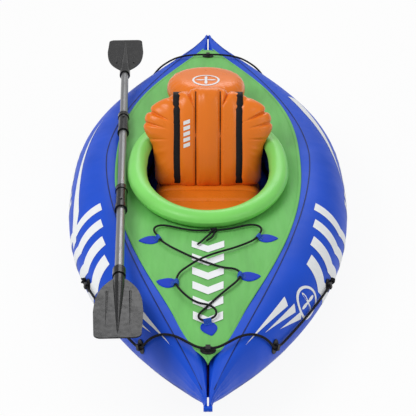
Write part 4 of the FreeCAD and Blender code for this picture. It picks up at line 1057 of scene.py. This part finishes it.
def rope_tube(name, line, radius, sides=12, closed=False):
    """A round tube along a line; its sides keep their direction from one point to the next."""
    if closed:
        ahead = np.roll(line, -1, axis=0) - np.roll(line, 1, axis=0)
    else:
        ahead = np.gradient(line, axis=0)
    ahead /= np.linalg.norm(ahead, axis=1, keepdims=True)
    side = np.zeros_like(line)
    start = np.cross(ahead[0], (0.0, 0.0, 1.0))
    side[0] = start / np.linalg.norm(start)
    for k in range(1, len(line)):
        turned = side[k - 1] - ahead[k] * np.dot(side[k - 1], ahead[k])
        side[k] = turned / np.linalg.norm(turned)
    up = np.cross(ahead, side)
    turn = np.linspace(0, 2 * np.pi, sides, endpoint=False)
    ring = side[:, None] * np.cos(turn)[None, :, None] + up[:, None] * np.sin(turn)[None, :, None]
    points = line[:, None] + radius * ring
    travel = np.concatenate([[0], np.cumsum(np.linalg.norm(np.diff(line, axis=0), axis=1))])
    if closed:
        travel = np.append(travel, travel[-1] + 0.001)
    uv = np.stack(np.meshgrid(travel, np.linspace(0, 2 * np.pi * radius, sides + 1),
                              indexing="ij"), axis=-1)
    tube = grid_piece(name, points, uv, wrap_rows=closed, wrap_columns=True)
    if closed:
        return weld(tube, 1e-7)
    count = len(line) * sides
    tips = np.stack([line[0] - ahead[0] * radius * 0.1, line[-1] + ahead[-1] * radius * 0.1])
    faces = [(k, (k + 1) % sides, count) for k in range(sides)]
    faces += [(count - sides + (k + 1) % sides, count - sides + k, count + 1)
              for k in range(sides)]
    caps = mesh_object("rope_ends", np.concatenate([points.reshape(-1, 3), tips]),
                       np.array(faces), np.zeros((len(faces) * 3, 2)))
    return weld(join(name, [tube, caps]), 1e-6)


def knot_piece(name, centre, heading, half_length, half_height, strand):
    """A tied knot: a strand along a trefoil curve, squeezed to the knot's length and height."""
    turn = np.linspace(0, 2 * np.pi, 120, endpoint=False)
    curve = np.stack([np.cos(2 * turn) * (2 + np.cos(3 * turn)) / 3,
                      np.sin(2 * turn) * (2 + np.cos(3 * turn)) / 3, np.sin(3 * turn)], axis=-1)
    curve = curve * (half_length - strand, half_height - strand, half_height - strand)
    ahead = np.array(heading, float)
    ahead /= np.linalg.norm(ahead)
    side = np.cross((0.0, 0.0, 1.0), ahead)
    side /= np.linalg.norm(side)
    up = np.cross(ahead, side)
    line = np.array(centre) + curve @ np.stack([ahead, side, up])
    return rope_tube(name, line, strand, 10, closed=True)


def millimetres(points):
    return [tuple(c / 1000 for c in p) for p in points]


# The bow line's port half, from the centre holder outwards, in millimetres.
BOW_LINE = [(26, -1215, 244), (64, -1182, 246), (101, -1148, 246), (136, -1125, 237),
            (167, -1109, 217), (189, -1095, 190), (204.3, -1081.3, 157.2), (223.3, -1051.3, 143.9),
            (251, -1004, 144), (292, -930, 145), (336, -845, 146), (379, -756, 147.5),
            (412, -674.4, 149.9)]
# The stern line's port half, from the centre holder outwards.
STERN_LINE = [(26, 1094.7, 255.7), (64, 1097, 253), (105, 1089, 251), (142, 1069, 249),
              (175, 1046, 240), (212, 1022, 222), (243, 1001, 188), (263.7, 981.9, 149.9),
              (282.3, 950.3, 140.1), (306, 908, 142), (340, 842, 145), (379, 756, 147.5),
              (412, 674.4, 149.9)]
# The deck lace, from one side of its knot through the five tabs to the other side.
DECK_LACE = [(5.7, -563.3, 288), (-28, -567, 288), (-66, -560, 288), (-102, -548, 289),
             (-133, -534, 289), (-160, -528, 289), (-181, -543, 289), (-182, -570, 288),
             (-170, -592, 286), (-157, -626, 284), (-128, -664, 284), (-86, -702, 282),
             (-46, -735, 280), (6, -769, 278), (50, -793, 276), (86, -799, 277),
             (104.5, -817, 274), (102.4, -848, 271.5), (88, -876, 271), (62, -910, 268),
             (34, -946, 263), (10, -982, 260), (-12, -1018, 258), (-28, -1042, 257),
             (-30, -1066, 257), (-16, -1081, 257), (10, -1073, 258), (26, -1054, 260),
             (25, -1027, 264), (5, -1007, 268), (-28, -998, 268), (-56, -968, 266),
             (-82, -928, 267), (-101.5, -888, 268.2), (-102, -857, 271), (-92, -820, 276),
             (-62, -786, 280), (-36, -763, 286), (2, -731, 287), (38, -704, 285),
             (80, -680, 284), (122, -652, 285), (156, -624, 286), (174, -584, 287),
             (182, -556, 288), (172, -532, 289), (144, -524, 289), (108, -539, 289),
             (70, -556, 288), (30.3, -563, 288)]
LACE_KNOT = (0.018, -0.563, 0.288)
LONG_TAIL = [(13, -569.7, 288), (6, -590, 288), (-7, -610, 287), (-19, -633, 286), (-34, -654, 285)]
SHORT_TAIL = [(22, -569.9, 288), (21, -592, 288), (12, -614, 287), (-4, -630, 286)]


def make_grab_line(name, half):
    """A grab line through its five holders, knotted past the outer two."""
    points = [(-x, y, z) for x, y, z in reversed(half)] + half
    line = route_line(millimetres(points))
    rope = rope_tube(name + "_rope", line, 0.004)
    knots = []
    for index, (end, before) in enumerate(((line[0], line[3]), (line[-1], line[-4]))):
        heading = (end - before) / np.linalg.norm(end - before)
        knots.append(knot_piece("knot_%d" % index, end + heading * 0.0115, heading,
                                0.0125, 0.0100, 0.0036))
    knot = give(join(name + "_knot_pair", knots), "rope")
    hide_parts(name)
    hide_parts(name + "_knots")
    give(rope, "rope")


def make_lace():
    line = route_line(millimetres(DECK_LACE))
    lace = rope_tube("lace_rope", line, 0.0035)
    knot = knot_piece("lace_tie", LACE_KNOT, (1, 0.1, 0), 0.0145, 0.0085, 0.0032)
    give(lace, "rope")
    give(knot, "rope")
    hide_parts("deck_lace")
    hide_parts("lace_knot")
    for name, route in (("lace_tail_long", LONG_TAIL), ("lace_tail_short", SHORT_TAIL)):
        line = route_line(millimetres(route))
        tail = rope_tube(name + "_rope", line, 0.0035)
        give(tail, "rope")
        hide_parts(name)


make_grab_line("bow_line", BOW_LINE)
make_grab_line("stern_line", STERN_LINE)
make_lace()


# ---------------------------------------------------------------- lacing tabs
# Each tab: x and y of its loop, the lace's heading through it and the leaf's, in degrees.
TABS = {
    "lace_tab_starboard_rear": (-164.0, -608.0, -69.0, 184.0),
    "lace_tab_starboard_front": (-101.5, -872.0, 88.0, 160.0),
    "lace_tab_port_rear": (167.0, -600.0, 66.0, 2.0),
    "lace_tab_port_front": (103.0, -832.0, -94.0, 9.0),
    "lace_tab_centre": (-3.0, -1077.0, 17.0, -78.0),
}


def make_tab(name, x, y, lacing, pointing):
    """A leaf-shaped patch on the deck with a doubled band over the lace.

    The leaf's half width is a skewed arch along its length; its surface rises 1.4 mm over
    the deck and thins to its edge. The band is an arch over the lace, its feet on the deck.
    """
    x, y = x / 1000, y / 1000
    leaf_way = np.array((math.cos(math.radians(pointing)), math.sin(math.radians(pointing))))
    leaf_side = np.array((-leaf_way[1], leaf_way[0]))
    share = np.linspace(0, 1, 40)[:, None]
    across = np.linspace(-1, 1, 17)[None, :]
    half = 0.0255 * np.sin(np.pi * np.clip(0.14 + 0.86 * share, 0, 1) ** 0.85) ** 0.8 + 0.0004
    along = 0.004 + 0.064 * share
    spot = (np.array((x, y)) + along[..., None] * leaf_way
            + (half * across)[..., None] * leaf_side)
    edge = np.sqrt(np.clip(1 - np.abs(across) ** 6, 0, 1))
    rise = 0.0004 + 0.0015 * edge * ease(1 - share, 0, 0.12) * ease(share, 0.0, 0.03)
    top = np.stack([spot[..., 0], spot[..., 1], deck_height(spot[..., 0], spot[..., 1]) + rise], -1)
    leaf = face_along(grid_piece(name + "_leaf", top, plain_uv(40, 17)), (0, 0, 1))
    give(leaf, "tab")
    lace_way = np.array((math.cos(math.radians(lacing)), math.sin(math.radians(lacing))))
    band_way = np.array((-lace_way[1], lace_way[0]))
    if band_way @ leaf_way < 0:
        band_way = -band_way
    arc = np.linspace(0, 1, 30)[:, None]
    reach = -0.0085 + 0.026 * arc
    arch = np.where(arc < 0.66, np.sin(np.clip(arc / 0.66, 0, 1) * np.pi) ** 0.7, 0.0)
    width = np.linspace(-1, 1, 9)[None, :] * 0.0125
    where = (np.array((x, y)) + reach[..., None] * band_way + (width + 0 * arc)[..., None] * lace_way)
    base = deck_height(where[..., 0], where[..., 1])
    height = base + 0.0021 + 0.0112 * arch
    outer = np.stack([where[..., 0], where[..., 1], height], axis=-1)
    band = face_along(grid_piece(name + "_band", outer, plain_uv(30, 9, 0.04, 0.025)), (0, 0, 1))
    doubled = band.modifiers.new("band", "SOLIDIFY")
    doubled.thickness = 0.0010
    doubled.offset = 0
    give(band, "band")
    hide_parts(name)
    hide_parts(name)


for name, (x, y, lacing, pointing) in TABS.items():
    make_tab(name, x, y, lacing, pointing)


# ---------------------------------------------------------------- carried-over pieces
def finish_node(name, key):
    data = nodes[name].data
    data.materials.clear()
    data.materials.append(finish[key])


for name in nodes:
    if name.startswith("line_holder"):
        finish_node(name, "rubber")
    elif name.endswith("tip_lug") or name == "bottom_skin":
        finish_node(name, "hull")
    elif name.startswith("paddle_shaft"):
        finish_node(name, "metal")
    elif name.startswith("paddle_"):
        finish_node(name, "plastic")
    elif name.startswith("hull_valve"):
        finish_node(name, "rubber")
    elif "valve" in name:
        finish_node(name, "valve")


# ---------------------------------------------------------------- studio
def make_floor_plane():
    """A pale floor; seen by the camera it is nearly white and keeps a soft shadow."""
    size = 40.0
    corners = np.array([(-size, -size, 0), (size, -size, 0), (size, size, 0), (-size, size, 0)])
    ground = mesh_object("studio_floor", corners - (0, 0, 0.0005), np.array([[0, 1, 2, 3]]))
    material = bpy.data.materials.new("studio_floor")
    material.use_nodes = True
    tree = material.node_tree
    tree.nodes.clear()
    output = tree.nodes.new("ShaderNodeOutputMaterial")
    mix = tree.nodes.new("ShaderNodeMixShader")
    matt = tree.nodes.new("ShaderNodeBsdfDiffuse")
    matt.inputs["Color"].default_value = (0.8, 0.8, 0.8, 1)
    glow = tree.nodes.new("ShaderNodeEmission")
    glow.inputs["Strength"].default_value = 1.0
    rays = tree.nodes.new("ShaderNodeLightPath")
    seen = arithmetic(tree, "MAXIMUM", rays.outputs["Is Camera Ray"], rays.outputs["Is Glossy Ray"])
    tree.links.new(arithmetic(tree, "MULTIPLY", seen, 0.92), mix.inputs["Fac"])
    tree.links.new(matt.outputs["BSDF"], mix.inputs[1])
    tree.links.new(glow.outputs["Emission"], mix.inputs[2])
    tree.links.new(mix.outputs["Shader"], output.inputs["Surface"])
    ground.data.materials.append(material)


def softbox(name, place, aim, size, power):
    light = bpy.data.lights.new(name, "AREA")
    light.shape = "RECTANGLE"
    light.size, light.size_y = size
    light.energy = power
    lamp = bpy.data.objects.new(name, light)
    lamp.location = place
    lamp.rotation_euler = (Vector(aim) - Vector(place)).to_track_quat("-Z", "Y").to_euler()
    bpy.context.scene.collection.objects.link(lamp)


def make_light():
    world = bpy.data.worlds.new("studio")
    bpy.context.scene.world = world
    world.use_nodes = True
    tree = world.node_tree
    tree.nodes.clear()
    output = tree.nodes.new("ShaderNodeOutputWorld")
    sky = tree.nodes.new("ShaderNodeBackground")
    rays = tree.nodes.new("ShaderNodeLightPath")
    seen = arithmetic(tree, "MAXIMUM", rays.outputs["Is Camera Ray"], 0.5)
    tree.links.new(seen, sky.inputs["Strength"])
    sky.inputs["Color"].default_value = (1, 1, 1, 1)
    tree.links.new(sky.outputs["Background"], output.inputs["Surface"])
    softbox("key", (-2.6, -1.6, 3.4), (0, -0.2, 0.2), (2.4, 2.0), 88)
    softbox("fill", (3.0, -2.2, 2.2), (0, -0.3, 0.2), (2.0, 2.0), 26)
    softbox("rear", (0.4, 3.2, 2.8), (0, 0.2, 0.2), (2.6, 1.4), 38)


make_floor_plane()
make_light()
bpy.context.scene.view_settings.view_transform = "Standard"
